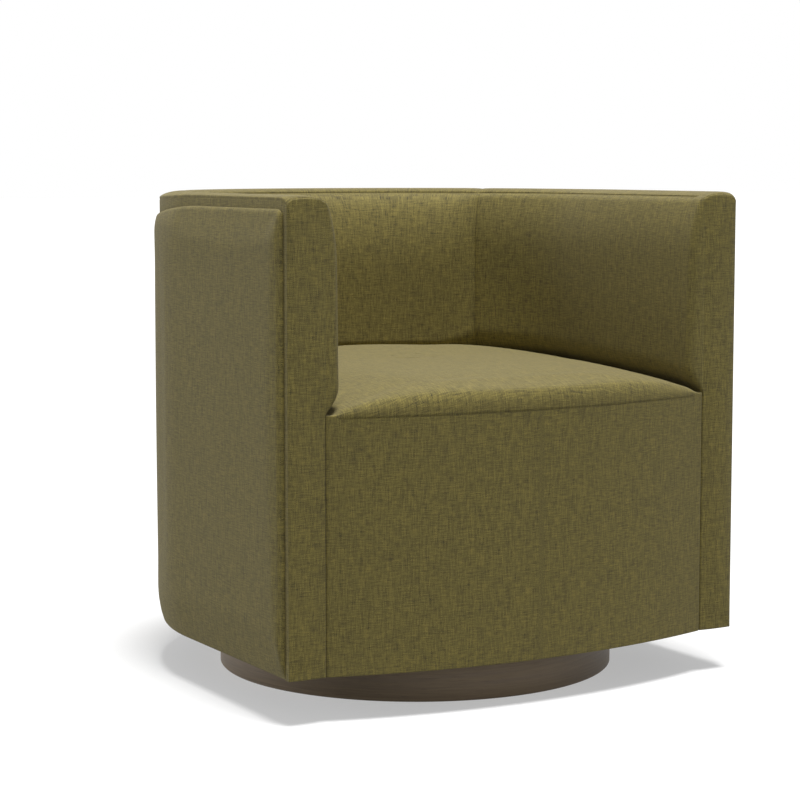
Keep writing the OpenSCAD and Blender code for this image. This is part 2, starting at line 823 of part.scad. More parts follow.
module front_panel_cover() {
    color([0.35, 0.32, 0.19]) {
        front_band(0, cover_t, shell_z, seam_h - soft_gap);
        front_band(0, hem_w, shell_z, deck_z);
    }
}

// Inside of the arms and back
module left_inside_foam() { color([0.93, 0.90, 0.80]) along_arm(LEFT, post_y) inside_foam_outline(); }
module right_inside_foam() { color([0.93, 0.90, 0.80]) along_arm(RIGHT, post_y) inside_foam_outline(); }
module back_inside_foam() { color([0.93, 0.90, 0.80]) along_back() inside_foam_outline(); }
module left_inside_cover() { color([0.38, 0.35, 0.21]) along_arm(LEFT, arm_pad_y) inside_cover_outline(); }
module right_inside_cover() { color([0.38, 0.35, 0.21]) along_arm(RIGHT, arm_pad_y) inside_cover_outline(); }
module back_inside_cover() { color([0.38, 0.35, 0.21]) along_back() inside_cover_outline(); }

// Top band
module left_top_foam() { color([0.93, 0.90, 0.80]) along_arm(LEFT, post_y) top_foam_outline(); }
module right_top_foam() { color([0.93, 0.90, 0.80]) along_arm(RIGHT, post_y) top_foam_outline(); }
module back_top_foam() { color([0.93, 0.90, 0.80]) along_back() top_foam_outline(); }
module left_top_cover() { color([0.55, 0.52, 0.36]) along_arm(LEFT, arm_pad_y) top_cover_outline(); }
module right_top_cover() { color([0.55, 0.52, 0.36]) along_arm(RIGHT, arm_pad_y) top_cover_outline(); }
module back_top_cover() { color([0.55, 0.52, 0.36]) along_back() top_cover_outline(); }

// Arm fronts
module left_arm_pad() { color([0.93, 0.90, 0.80]) arm_front(LEFT, arm_pad_y, arm_pad_t, skin, deck_z); }
module right_arm_pad() { color([0.93, 0.90, 0.80]) arm_front(RIGHT, arm_pad_y, arm_pad_t, skin, deck_z); }
module left_arm_facing() { color([0.35, 0.32, 0.19]) arm_front(LEFT, arm_y, cover_t, 0, shell_z); }
module right_arm_facing() { color([0.35, 0.32, 0.19]) arm_front(RIGHT, arm_y, cover_t, 0, shell_z); }

// Outside of the shell
module outside_padding() {
    color([0.93, 0.90, 0.80])
    along_wall(post_y) wall_slab(skin, skin + outer_pad_t, deck_z, rib_top);
}

module outside_cover() {
    color([0.37, 0.34, 0.21])
    along_wall(arm_pad_y) {
        wall_slab(0, cover_t, shell_z, crown_z(0) - cover_t - soft_gap);
        wall_slab(0, hem_w, shell_z, deck_z);
    }
}

// Wrap panel, outside the shell: its distances in are negative
wrap_y = arm_y + wrap_set;
wrap_z0 = shell_z + wrap_lift;
wrap_z1 = crown_z(0) - wrap_drop;
module wrap_outline(o) {
    face = -wrap_t + o;
    r = wrap_r - o;
    intersection() {
        for (z = [wrap_z0 + wrap_r, wrap_z1 - wrap_r]) translate([face + r, z]) circle(r, $fn = 48);
        wall_slab(-wrap_t, -soft_gap, wrap_z0, wrap_z1);
    }
    wall_slab(face, face + r, wrap_z0 + wrap_r, wrap_z1 - wrap_r);
    wall_slab(face + r, -soft_gap, wrap_z0 + o, wrap_z1 - o);
}

module wrap_pad() {
    color([0.93, 0.90, 0.80]) along_wall(wrap_y + cover_t) wrap_outline(cover_t + soft_gap / 2);
}

module wrap_cover() {
    color([0.40, 0.37, 0.24]) {
        along_wall(wrap_y + cover_t) difference() {
            wrap_outline(0);
            wrap_outline(cover_t);
        }
        for (s = [LEFT, RIGHT]) on_side(s)
            translate([0, wrap_y + cover_t, 0]) rotate([90, 0, 0])
                linear_extrude(cover_t) wall_outline() wrap_outline(0);
    }
}

plinth_rim();
plinth_board();
glue_blocks();
floor_glides();
lower_swivel_plate();
lower_plate_screws();
pivot_bolt();
pivot_washer();
pivot_nut();
bearing_cage();
bearing_balls();
upper_swivel_plate();
upper_plate_bolts();
tee_nuts();
pivot_bush();
deck_board();
seat_frame();
mid_rib();
top_rib();
left_arm_post();
right_arm_post();
lower_studs();
middle_studs();
upper_studs();
front_board();
left_arm_board();
right_arm_board();
outer_liner();
inner_liner();
lengthwise_webbing();
crosswise_webbing();
dust_cover();
seat_foam_base();
seat_foam_crown();
seat_cover();
front_panel_foam();
front_panel_cover();
left_inside_foam();
right_inside_foam();
back_inside_foam();
left_inside_cover();
right_inside_cover();
back_inside_cover();
left_top_foam();
right_top_foam();
back_top_foam();
left_top_cover();
right_top_cover();
back_top_cover();
left_arm_pad();
right_arm_pad();
left_arm_facing();
right_arm_facing();
outside_padding();
outside_cover();
wrap_pad();
wrap_cover();
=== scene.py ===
import json
import math

import bmesh
import bpy
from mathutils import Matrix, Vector

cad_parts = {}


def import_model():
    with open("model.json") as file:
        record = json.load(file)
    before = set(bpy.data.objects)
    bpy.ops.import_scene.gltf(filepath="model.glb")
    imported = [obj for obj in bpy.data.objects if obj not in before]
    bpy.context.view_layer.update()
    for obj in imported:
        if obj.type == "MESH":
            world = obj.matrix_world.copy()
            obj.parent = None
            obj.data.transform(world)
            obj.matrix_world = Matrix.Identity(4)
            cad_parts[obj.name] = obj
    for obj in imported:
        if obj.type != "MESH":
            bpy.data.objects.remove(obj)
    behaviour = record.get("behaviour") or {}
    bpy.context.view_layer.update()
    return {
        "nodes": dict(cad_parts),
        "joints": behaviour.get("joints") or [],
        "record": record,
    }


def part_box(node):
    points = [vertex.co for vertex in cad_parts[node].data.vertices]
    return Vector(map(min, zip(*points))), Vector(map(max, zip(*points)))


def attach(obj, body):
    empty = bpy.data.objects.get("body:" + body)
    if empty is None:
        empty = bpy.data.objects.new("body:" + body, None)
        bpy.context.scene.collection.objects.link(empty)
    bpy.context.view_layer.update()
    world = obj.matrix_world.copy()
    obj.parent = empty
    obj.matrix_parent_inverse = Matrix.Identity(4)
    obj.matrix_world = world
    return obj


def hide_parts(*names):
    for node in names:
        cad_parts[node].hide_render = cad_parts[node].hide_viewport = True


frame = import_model()

# Sizes read from the frame, in metres. The chair faces -Y, and left is -X.
shell_low, shell_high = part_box("outside_cover")
panel_low, panel_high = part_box("front_panel_cover")
wrap_low, wrap_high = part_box("wrap_cover")
rim_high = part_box("plinth_rim")[1]
HALF_W = shell_high.x
ARC_Y = shell_high.y - HALF_W
ARM_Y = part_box("left_arm_facing")[0].y
PAD_BACK_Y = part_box("left_arm_pad")[1].y
SHELL_Z = shell_low.z
DECK_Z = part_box("deck_board")[0].z
BODY_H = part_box("back_top_cover")[1].z
SEAM_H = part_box("seat_cover")[0].z + 0.0025
SEAT_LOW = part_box("seat_foam_crown")[0].z
PAD_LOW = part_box("back_inside_foam")[0].z
RIB_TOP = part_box("top_rib")[1].z
FRONT_BOW = ARM_Y - panel_low.y
CLEAR = 0.0003
PANEL_HALF = panel_high.x + CLEAR
ARM_W = HALF_W - PANEL_HALF
WRAP_T = wrap_high.x - HALF_W
RIM_R = rim_high.x

# Seams of the covers: heights, places along the arms and polar angles round the back
SEAM_Z = BODY_H - 0.008
OUTER_SEAM_Z = BODY_H - 0.0035
INNER_SEAM_Z = BODY_H - 0.0065
JOINT_Y = ARM_Y + 0.024
SEAM_ANGLE = math.radians(38)
UPRIGHT_ANGLE = math.radians(37.1)
SLIT = 0.00005 / HALF_W
BACK_DIP = 0.007
BACK_DIP_Y = ARC_Y - 0.06
BACK_DIP_RUN = 0.27
CORNER_DIP = 0.0065
CORNER_DIP_RUN = 0.022

# Top band and inside pads: the fullness and rolls of the arms' pads, and of the back's
TOP_W = 0.052
INNER_SEAM_D = TOP_W + 0.001
PAD_BACK_D = 0.047
FILL_RUN = 0.040
PAD_SWELL, BACK_SWELL = 0.025, 0.048
PAD_FOOT, BACK_FOOT = 0.036, 0.006
PAD_SLOPE, BACK_SLOPE = 0.100, 0.140
PAD_ROLL, BACK_ROLL = 0.008, 0.030
PAD_ROLL_SHARE, BACK_ROLL_SHARE = 0.32, 0.30

# Seat: its crown, its front roll and how it climbs and turns down along the pads
SEAT_GAP = 0.001
ROLL_D = 0.027
ROLL_POWER = 2.4
CROWN_FRONT, CROWN_BACK = 0.026, 0.012
CROWN_RUN = 0.3
CROWN_REACH = 0.2
FRONT_FALL = 0.003
FALL_REACH = 0.14
EDGE_STEP = 0.011
EDGE_CLIMB = 0.025
CLIMB_RUN = 0.5
EDGE_ROLL = 0.075
EDGE_ROLL_SHARE = 0.35
EDGE_TURN = 0.020
SIDE_TUCK, BACK_TUCK = 0.026, 0.011
TUCK_RUN = 0.32

# Cell size of the swept pads, the width and shares of a front edge's fan of steps, and a seam's steps
CELL = 0.009
FRONT_EDGE = 0.012
EDGE_FAN = (0.06, 0.10, 0.16, 0.20, 0.24, 0.24)
SEAM_STEPS = [0.0004, 0.0008, 0.0012, 0.0018, 0.0025, 0.0035, 0.0050, 0.0065]

# Cloth simulation that blows a pad up
SWELL_PRESSURE = 4.0
SWELL_FRAMES = 20

# The front panel's bow is an arc between the two arms
BOW_R = (PANEL_HALF ** 2 + FRONT_BOW ** 2) / (2 * FRONT_BOW)
BOW_Y = ARM_Y - FRONT_BOW + BOW_R


def mix(a, b, t):
    return a + (b - a) * t


def clamp01(t):
    return min(max(t, 0.0), 1.0)


def eased(count):
    """Shares from 0 to 1, closer together at both ends."""
    return [(1 - math.cos(math.pi * i / count)) / 2 for i in range(count + 1)]


def quarter(distance, reach, power=2.0):
    """0 at an edge and 1 from reach inwards, along a quarter of an ellipse, fuller with more power."""
    t = 1 - clamp01(distance / reach)
    return max(0.0, 1 - t ** power) ** (1 / power)


def soft_roll(distance, reach, power=2.1):
    """0 at an edge and 1 from reach inwards, along a parabola, steeper at the edge with more power."""
    return 1 - (1 - clamp01(distance / reach)) ** power


def wall_radius(x, y):
    """How far out a place is: sideways along the arms, and from the arc's centre round the back."""
    return abs(x) if y < ARC_Y else math.hypot(x, y - ARC_Y)


def inwards_of(co):
    """How far in a point is from the outside cover's face."""
    return HALF_W - wall_radius(co.x, co.y)


# Faces of the pads
def seat_edge(y):
    """Height of the line along which the seat's crown would meet the inside pads."""
    return SEAM_H + EDGE_STEP + EDGE_CLIMB * clamp01((y - JOINT_Y) / CLIMB_RUN) ** 0.6


def back_fill(x, y):
    """0 along the arms and 1 in the middle of the back, whose pad is fuller between its two seams."""
    past = math.atan2(max(y - ARC_Y, 0.0), abs(x)) - UPRIGHT_ANGLE
    return 1 - math.exp(-max(past, 0.0) * HALF_W / FILL_RUN)


def pad_face(z, x, y):
    """How far in from the outside cover the inside pads' face lies: it turns back under above the seat."""
    t = clamp01((z - SEAM_H) / (SEAM_Z - SEAM_H))
    foot = seat_edge(y) - 0.8 * EDGE_STEP
    below = SEAM_Z - z
    fill = back_fill(x, y)
    low = soft_roll(z - foot, mix(PAD_FOOT, BACK_FOOT, fill), 2)
    slope = soft_roll(below, mix(PAD_SLOPE, BACK_SLOPE, fill), 2.7)
    roll = quarter(below, mix(PAD_ROLL, BACK_ROLL, fill))
    top = mix(slope, roll, mix(PAD_ROLL_SHARE, BACK_ROLL_SHARE, fill))
    return mix(ARM_W, INNER_SEAM_D, t) + mix(PAD_SWELL, BACK_SWELL, fill) * low * top


def back_share(y):
    """0 along the arms and 1 round the back, where the outer seam and the wrap panel lie lower."""
    t = clamp01((y - BACK_DIP_Y) / BACK_DIP_RUN)
    return t * t * (3 - 2 * t)


def outer_seam(y):
    """Height of the seam between the top band and the outside cover: it dips at the arm's front corner."""
    corner = 1 - quarter(y - ARM_Y, CORNER_DIP_RUN)
    return OUTER_SEAM_Z - BACK_DIP * back_share(y) - CORNER_DIP * corner


def crown_face(d, y):
    """Height of the top band's face at distance d in from the outside cover."""
    t = clamp01(d / TOP_W)
    low = mix(outer_seam(y), INNER_SEAM_Z, t)
    middle = (outer_seam(y) + INNER_SEAM_Z) / 2
    return low + (BODY_H - middle) * (1 - (2 * t - 1) ** 2) ** 0.6


def seat_reach(x, y):
    """How far out the seat goes, to just short of the pads."""
    return HALF_W - pad_face(seat_edge(y), x, y) - SEAT_GAP


def seat_side_gap(x, y):
    """How far a place on the seat is from the pads."""
    return seat_reach(x, y) - wall_radius(x, y)


def front_gap(x, y):
    """How far a place on the seat is from its front seam."""
    return BOW_R - math.hypot(x, y - BOW_Y)


def seat_tuck(y):
    """How far the seat's edge turns down beside the pads: less at the back, where it fills the corner."""
    tuck = mix(SIDE_TUCK, BACK_TUCK, clamp01((y - ARM_Y) / TUCK_RUN))
    return min(tuck, 0.92 * (seat_edge(y) - SEAM_H))


def seat_face(x, y):
    """Height of the seat's face: crowned, with a roll along the front and down beside the pads."""
    gap, ahead = seat_side_gap(x, y), front_gap(x, y)
    crown = mix(CROWN_FRONT, CROWN_BACK, clamp01((y - ARM_Y) / CROWN_RUN)) * soft_roll(gap, CROWN_REACH, 2.4)
    fall = FRONT_FALL * (1 - soft_roll(ahead, FALL_REACH, 2))
    tuck = seat_tuck(y) * (1 - mix(quarter(gap, EDGE_TURN), soft_roll(gap, EDGE_ROLL), EDGE_ROLL_SHARE))
    return mix(SEAM_H, seat_edge(y) + crown - fall - tuck, quarter(ahead, ROLL_D, ROLL_POWER))


# Mesh helpers
def ring(bm, points):
    """A closed ring of edges through a few points."""
    verts = [bm.verts.new(p) for p in points]
    return [bm.edges.new(pair) for pair in zip(verts, verts[1:] + verts[:1])]


def ring_verts(edges):
    """The points of a few edges, each once and in the edges' order, which is the same in every run."""
    return list(dict.fromkeys(v for e in edges for v in e.verts))


def grown(bm, edges):
    """Extrudes a ring where it is, and gives the new ring."""
    out = bmesh.ops.extrude_edge_only(bm, edges=edges)["geom"]
    return [g for g in out if isinstance(g, bmesh.types.BMEdge) and g.is_boundary]


def pull(bm, edges, steps, direction=(0, 1, 0)):
    """Extrudes a ring by each step in turn, and gives the last ring."""
    for step in steps:
        edges = grown(bm, edges)
        bmesh.ops.translate(bm, verts=ring_verts(edges), vec=Vector(direction) * step)
    return edges


def turn(bm, edges, centre, angle, steps=1):
    """Spins a ring about an upright axis, and gives the last ring."""
    out = bmesh.ops.spin(bm, geom=ring_verts(edges) + edges, cent=centre, axis=(0, 0, 1),
                         angle=angle, steps=steps, use_duplicate=False)["geom_last"]
    return [g for g in out if isinstance(g, bmesh.types.BMEdge)]


def close(bm, edges):
    """Closes a ring with small faces, since one large face makes a poor pole when it is rounded."""
    faces = bmesh.ops.edgeloop_fill(bm, edges=edges)["faces"]
    faces = bmesh.ops.triangulate(bm, faces=faces, ngon_method="BEAUTY")["faces"]
    bmesh.ops.join_triangles(bm, faces=faces, angle_face_threshold=0.7, angle_shape_threshold=0.9)


def settle_order(bm):
    """Numbers points by their places, and edges and faces by their points, alike in every run."""
    for number, vert in enumerate(sorted(bm.verts, key=lambda v: [round(c, 6) for c in v.co])):
        vert.index = number
    bm.verts.sort()
    for parts in (bm.edges, bm.faces):
        for number, part in enumerate(sorted(parts, key=lambda p: sorted(v.index for v in p.verts))):
            part.index = number
        parts.sort()


def to_piece(bm, name, uv, finish=None):
    """Makes the finished mesh an object at the origin, with its coordinates in metres.

    It is of the cover cloth unless a finish is given."""
    bmesh.ops.remove_doubles(bm, verts=bm.verts, dist=1e-6)
    bmesh.ops.recalc_face_normals(bm, faces=bm.faces)
    settle_order(bm)
    layer = bm.loops.layers.uv.new("cut")
    for face in bm.faces:
        for loop in face.loops:
            loop[layer].uv = uv(loop.vert.co, face.normal)
    mesh = bpy.data.meshes.new(name)
    bm.to_mesh(mesh)
    bm.free()
    mesh.shade_smooth()
    piece = bpy.data.objects.new(name, mesh)
    bpy.context.scene.collection.objects.link(piece)
    mesh.materials.append(finish or CLOTH)
    return piece


def subdivided(piece):
    smooth = piece.modifiers.new("rounding", "SUBSURF")
    smooth.levels = smooth.render_levels = 1
    smooth.use_limit_surface = False


def swell(piece, sewn, cap):
    """Blows a pad up by a short cloth simulation.

    Points for which sewn is true stay, and the others move by up to cap."""
    scene = bpy.context.scene
    mesh = piece.data
    group = piece.vertex_groups.new(name="sewn")
    group.add([v.index for v in mesh.vertices if sewn(v.co)], 1.0, "REPLACE")
    cloth = piece.modifiers.new("swell", "CLOTH")
    settings = cloth.settings
    settings.quality = 6
    settings.mass = 0.25
    settings.tension_stiffness = settings.compression_stiffness = 40
    settings.shear_stiffness = 20
    settings.bending_stiffness = 2
    settings.use_pressure = True
    settings.uniform_pressure_force = SWELL_PRESSURE
    settings.vertex_group_mass = "sewn"
    settings.effector_weights.gravity = 0
    cloth.collision_settings.use_collision = False
    cloth.point_cache.frame_start = 1
    cloth.point_cache.frame_end = SWELL_FRAMES
    for number in range(1, SWELL_FRAMES + 1):
        scene.frame_set(number)
    swollen = piece.evaluated_get(bpy.context.evaluated_depsgraph_get()).data
    places = [v.co.copy() for v in swollen.vertices]
    piece.modifiers.remove(cloth)
    piece.vertex_groups.remove(group)
    scene.frame_set(1)
    for vert, place in zip(mesh.vertices, places):
        move = place - vert.co
        vert.co += move * min(1.0, cap / max(move.length, 1e-9))
    mesh.update()


# Shader helpers
class Shader:
    """Builds one node tree, with short calls for the nodes used often."""

    def __init__(self, tree):
        self.tree = tree

    def node(self, kind, **values):
        made = self.tree.nodes.new(kind)
        for key, value in values.items():
            setattr(made, key, value)
        return made

    def link(self, source, target):
        self.tree.links.new(source, target)

    def feed(self, socket, value):
        if isinstance(value, bpy.types.NodeSocket):
            self.link(value, socket)
        elif value is not None:
            socket.default_value = value

    def filled(self, kind, **values):
        made = self.node(kind)
        for name, value in values.items():
            self.feed(made.inputs[name], value)
        return made

    def maths(self, operation, a, b=None):
        made = self.node("ShaderNodeMath", operation=operation)
        self.feed(made.inputs[0], a)
        self.feed(made.inputs[1], b)
        return made.outputs[0]

    def vector(self, x, y, z=0.0):
        made = self.node("ShaderNodeCombineXYZ")
        for socket, value in zip(made.inputs, (x, y, z)):
            self.feed(socket, value)
        return made.outputs[0]

    def parts(self, vector):
        made = self.node("ShaderNodeSeparateXYZ")
        self.link(vector, made.inputs[0])
        return made.outputs

    def divided(self, vector, length, width):
        """Divides a vector's first part by a length, and the two others by a width."""
        pairs = zip(self.parts(vector), (length, width, width))
        return self.vector(*[self.maths("DIVIDE", part, size) for part, size in pairs])

    def noise(self, vector, scale=1.0, detail=2.0, roughness=0.5, distortion=0.0):
        made = self.filled("ShaderNodeTexNoise", Vector=vector, Scale=scale, Detail=detail,
                           Roughness=roughness, Distortion=distortion)
        return made.outputs["Fac"]

    def spread(self, value, low, high, to_low=0.0, to_high=1.0):
        made = self.node("ShaderNodeMapRange")
        for socket, number in zip(made.inputs[:5], (value, low, high, to_low, to_high)):
            self.feed(socket, number)
        return made.outputs[0]

    def blend(self, factor, a, b):
        made = self.node("ShaderNodeMix", data_type="RGBA")
        self.feed(made.inputs[0], factor)
        self.feed(made.inputs[6], a)
        self.feed(made.inputs[7], b)
        return made.outputs[2]

    def bump(self, height, distance, strength=1.0):
        made = self.filled("ShaderNodeBump", Strength=strength, Distance=distance, Height=height)
        return made.outputs["Normal"]


def group(name, inputs, outputs):
    """A shader node group with named sockets: gives the group, its shader and its input sockets."""
    tree = bpy.data.node_groups.new(name, "ShaderNodeTree")
    kinds = {"vector": "NodeSocketVector", "number": "NodeSocketFloat"}
    for label, kind, default in inputs:
        socket = tree.interface.new_socket(name=label, in_out="INPUT", socket_type=kinds[kind])
        if default is not None:
            socket.default_value = default
    for label, kind in outputs:
        tree.interface.new_socket(name=label, in_out="OUTPUT", socket_type=kinds[kind])
    shader = Shader(tree)
    source = shader.node("NodeGroupInput")
    target = shader.node("NodeGroupOutput")
    return tree, shader, source.outputs, target.inputs


def srgb(red, green, blue):
    """A colour given as the eye sees it, from 0 to 255, as a linear one."""
    channels = [value / 255 for value in (red, green, blue)]
    return tuple(c / 12.92 if c <= 0.04045 else ((c + 0.055) / 1.055) ** 2.4 for c in channels) + (1.0,)


# Effects that several materials share
def plain_weave():
    """Threads both ways with slubs, for the cover cloth, the webbing and the lining."""
    tree, s, given, result = group(
        "plain weave",
        [("Vector", "vector", None), ("Thread", "number", 0.0014), ("Slub", "number", 0.016)],
        [("Tone", "number"), ("Height", "number")],
    )
    along, up, _ = s.parts(given["Vector"])
    columns = s.maths("DIVIDE", along, given["Thread"])
    rows = s.maths("DIVIDE", up, given["Thread"])
    warp = s.noise(s.vector(columns, s.maths("DIVIDE", up, given["Slub"]), 3.0), 0.9, 2.0, 0.6)
    weft = s.noise(s.vector(s.maths("DIVIDE", along, given["Slub"]), rows, 9.0), 0.9, 2.0, 0.6)
    column_wave = s.maths("SINE", s.maths("MULTIPLY", columns, math.pi))
    row_wave = s.maths("SINE", s.maths("MULTIPLY", rows, math.pi))
    over = s.spread(s.maths("MULTIPLY", column_wave, row_wave), -0.35, 0.35)
    tone = s.maths("ADD", s.maths("MULTIPLY", warp, over),
                   s.maths("MULTIPLY", weft, s.maths("SUBTRACT", 1.0, over)))
    crossing = s.maths("MULTIPLY", s.maths("ABSOLUTE", column_wave), s.maths("ABSOLUTE", row_wave))
    s.link(s.spread(tone, 0.30, 0.70), result["Tone"])
    height = s.maths("ADD", s.maths("MULTIPLY", crossing, 0.6), s.maths("MULTIPLY", tone, 0.8))
    s.link(height, result["Height"])
    return tree


def long_grain():
    """Streaks and pores along the first coordinate, for the stained rim, the timber and the boards."""
    tree, s, given, result = group(
        "long grain",
        [("Vector", "vector", None), ("Length", "number", 0.20), ("Width", "number", 0.004)],
        [("Streak", "number"), ("Pores", "number")],
    )
    streaks = s.divided(given["Vector"], given["Length"], given["Width"])
    pores = s.divided(given["Vector"], s.maths("MULTIPLY", given["Length"], 0.25),
                      s.maths("MULTIPLY", given["Width"], 0.22))
    s.link(s.spread(s.noise(streaks, 1.0, 4.0, 0.6, 0.4), 0.30, 0.70), result["Streak"])
    s.link(s.spread(s.noise(pores, 1.0, 2.0, 0.7), 0.56, 0.72), result["Pores"])
    return tree


def surface_mottle():
    """Slow patches of tone and fine speckle on any surface."""
    tree, s, given, result = group(
        "mottle",
        [("Vector", "vector", None), ("Patch", "number", 0.08), ("Speck", "number", 0.001)],
        [("Patches", "number"), ("Specks", "number")],
    )
    patches = s.noise(s.divided(given["Vector"], given["Patch"], given["Patch"]), 1.0, 3.0)
    specks = s.noise(s.divided(given["Vector"], given["Speck"], given["Speck"]), 1.0, 1.0)
    s.link(s.spread(patches, 0.3, 0.7), result["Patches"])
    s.link(s.spread(specks, 0.3, 0.7), result["Specks"])
    return tree


WEAVE = plain_weave()
GRAIN = long_grain()
MOTTLE = surface_mottle()


def material(name):
    """An empty material with a Principled shader: gives the material, its shader helper and that node."""
    made = bpy.data.materials.new(name)
    made.use_nodes = True
    helper = Shader(made.node_tree)
    return made, helper, made.node_tree.nodes["Principled BSDF"]


def place(helper, tree, vector, **values):
    """Puts a node group into a material with its own values, and gives its outputs."""
    made = helper.node("ShaderNodeGroup", node_tree=tree)
    helper.link(vector, made.inputs["Vector"])
    for key, value in values.items():
        made.inputs[key].default_value = value
    return made.outputs


def coordinates(helper, kind):
    return helper.node("ShaderNodeTexCoord").outputs[kind]


def darker(colour, share):
    return tuple(c * share for c in colour[:3]) + (1.0,)


def upholstery_cloth():
    """Olive cloth: dark and yellow threads woven plain, with painted sheen that turns its colour paler and
    greyer at grazing angles.
    """
    made, s, bsdf = material("olive cloth")
    cut = coordinates(s, "UV")
    weave = place(s, WEAVE, cut, Thread=0.0013, Slub=0.014)
    broad = place(s, WEAVE, cut, Thread=0.0028, Slub=0.045)
    mottle = place(s, MOTTLE, coordinates(s, "Object"), Patch=0.12, Speck=0.0009)
    dark, yellow = srgb(28, 28, 25), srgb(160, 145, 70)
    tone = s.maths("ADD", s.maths("MULTIPLY", weave["Tone"], 0.78),
                   s.maths("MULTIPLY", broad["Tone"], 0.22))
    woven = s.blend(tone, dark, yellow)
    patchy = s.blend(s.spread(mottle["Patches"], 0, 1, 0.0, 0.14), woven, srgb(108, 98, 58))
    # Painted sheen: by the Layer Weight's Facing, the base colour is mixed towards a pale grey-olive at
    # grazing angles. This stands in for light glancing off the cloth.
    facing = s.node("ShaderNodeLayerWeight")
    painted_sheen = s.spread(facing.outputs["Facing"], 0.2, 0.9, 0.0, 0.5)
    s.link(s.blend(painted_sheen, patchy, srgb(122, 112, 78)), bsdf.inputs["Base Color"])
    height = s.maths("ADD", weave["Height"], s.maths("MULTIPLY", mottle["Specks"], 0.2))
    s.link(s.bump(height, 0.00035, 0.8), bsdf.inputs["Normal"])
    s.link(s.spread(weave["Tone"], 0, 1, 0.90, 0.78), bsdf.inputs["Roughness"])
    bsdf.inputs["Specular IOR Level"].default_value = 0.5
    bsdf.inputs["Sheen Weight"].default_value = 0.04
    bsdf.inputs["Sheen Roughness"].default_value = 0.50
    bsdf.inputs["Sheen Tint"].default_value = srgb(236, 232, 222)
    return made


def stained_wood():
    """Dark satin stain with fine grain along the rim, and slow changes of tone."""
    made, s, bsdf = material("stained rim")
    grain = place(s, GRAIN, coordinates(s, "UV"), Length=0.16, Width=0.0045)
    mottle = place(s, MOTTLE, coordinates(s, "Object"), Patch=0.10, Speck=0.0012)
    base = s.blend(grain["Streak"], srgb(116, 97, 74), srgb(155, 135, 106))
    pored = s.blend(s.maths("MULTIPLY", grain["Pores"], 0.55), base, srgb(76, 62, 46))
    toned = s.blend(s.spread(mottle["Patches"], 0, 1, 0.0, 0.25), pored, srgb(123, 103, 77))
    s.link(toned, bsdf.inputs["Base Color"])
    s.link(s.spread(grain["Streak"], 0, 1, 0.46, 0.60), bsdf.inputs["Roughness"])
    s.link(s.bump(s.maths("SUBTRACT", grain["Streak"], grain["Pores"]), 0.00025, 0.5), bsdf.inputs["Normal"])
    bsdf.inputs["Coat Weight"].default_value = 0.12
    bsdf.inputs["Coat Roughness"].default_value = 0.4
    return made


def raw_wood(name, pale, dark, length, width):
    """Unfinished timber or board with grain along X."""
    made, s, bsdf = material(name)
    grain = place(s, GRAIN, coordinates(s, "Object"), Length=length, Width=width)
    base = s.blend(grain["Streak"], dark, pale)
    s.link(s.blend(s.maths("MULTIPLY", grain["Pores"], 0.4), base, dark), bsdf.inputs["Base Color"])
    s.link(s.spread(grain["Streak"], 0, 1, 0.80, 0.66), bsdf.inputs["Roughness"])
    s.link(s.bump(grain["Streak"], 0.0002, 0.4), bsdf.inputs["Normal"])
    return made


def metal(name, colour, roughness, brushed):
    """Plated or polished steel with fine marks."""
    made, s, bsdf = material(name)
    mottle = place(s, MOTTLE, coordinates(s, "Object"), Patch=0.03, Speck=brushed)
    s.link(s.blend(mottle["Patches"], darker(colour, 0.82), colour), bsdf.inputs["Base Color"])
    s.link(s.spread(mottle["Specks"], 0, 1, roughness * 0.8, roughness * 1.25), bsdf.inputs["Roughness"])
    bsdf.inputs["Metallic"].default_value = 1.0
    return made


def moulded(name, colour, roughness):
    """Moulded nylon with a fine, dull skin."""
    made, s, bsdf = material(name)
    mottle = place(s, MOTTLE, coordinates(s, "Object"), Patch=0.02, Speck=0.0006)
    s.link(s.blend(mottle["Patches"], darker(colour, 0.85), colour), bsdf.inputs["Base Color"])
    s.link(s.spread(mottle["Specks"], 0, 1, roughness - 0.06, roughness + 0.06), bsdf.inputs["Roughness"])
    s.link(s.bump(mottle["Specks"], 0.00008, 0.3), bsdf.inputs["Normal"])
    return made


def plain_cloth(name, dark, pale, thread):
    """Webbing or lining cloth, woven plain and read on the object's own coordinates."""
    made, s, bsdf = material(name)
    weave = place(s, WEAVE, coordinates(s, "Object"), Thread=thread, Slub=thread * 9)
    s.link(s.blend(weave["Tone"], dark, pale), bsdf.inputs["Base Color"])
    s.link(s.spread(weave["Tone"], 0, 1, 0.95, 0.85), bsdf.inputs["Roughness"])
    s.link(s.bump(weave["Height"], thread * 0.2, 0.6), bsdf.inputs["Normal"])
    return made


def cut_foam(name):
    """Cream foam with open cells."""
    made, s, bsdf = material(name)
    mottle = place(s, MOTTLE, coordinates(s, "Object"), Patch=0.05, Speck=0.0011)
    s.link(s.blend(mottle["Specks"], srgb(206, 196, 164), srgb(240, 232, 206)), bsdf.inputs["Base Color"])
    s.link(s.bump(mottle["Specks"], 0.0006, 0.7), bsdf.inputs["Normal"])
    bsdf.inputs["Roughness"].default_value = 0.95
    return made


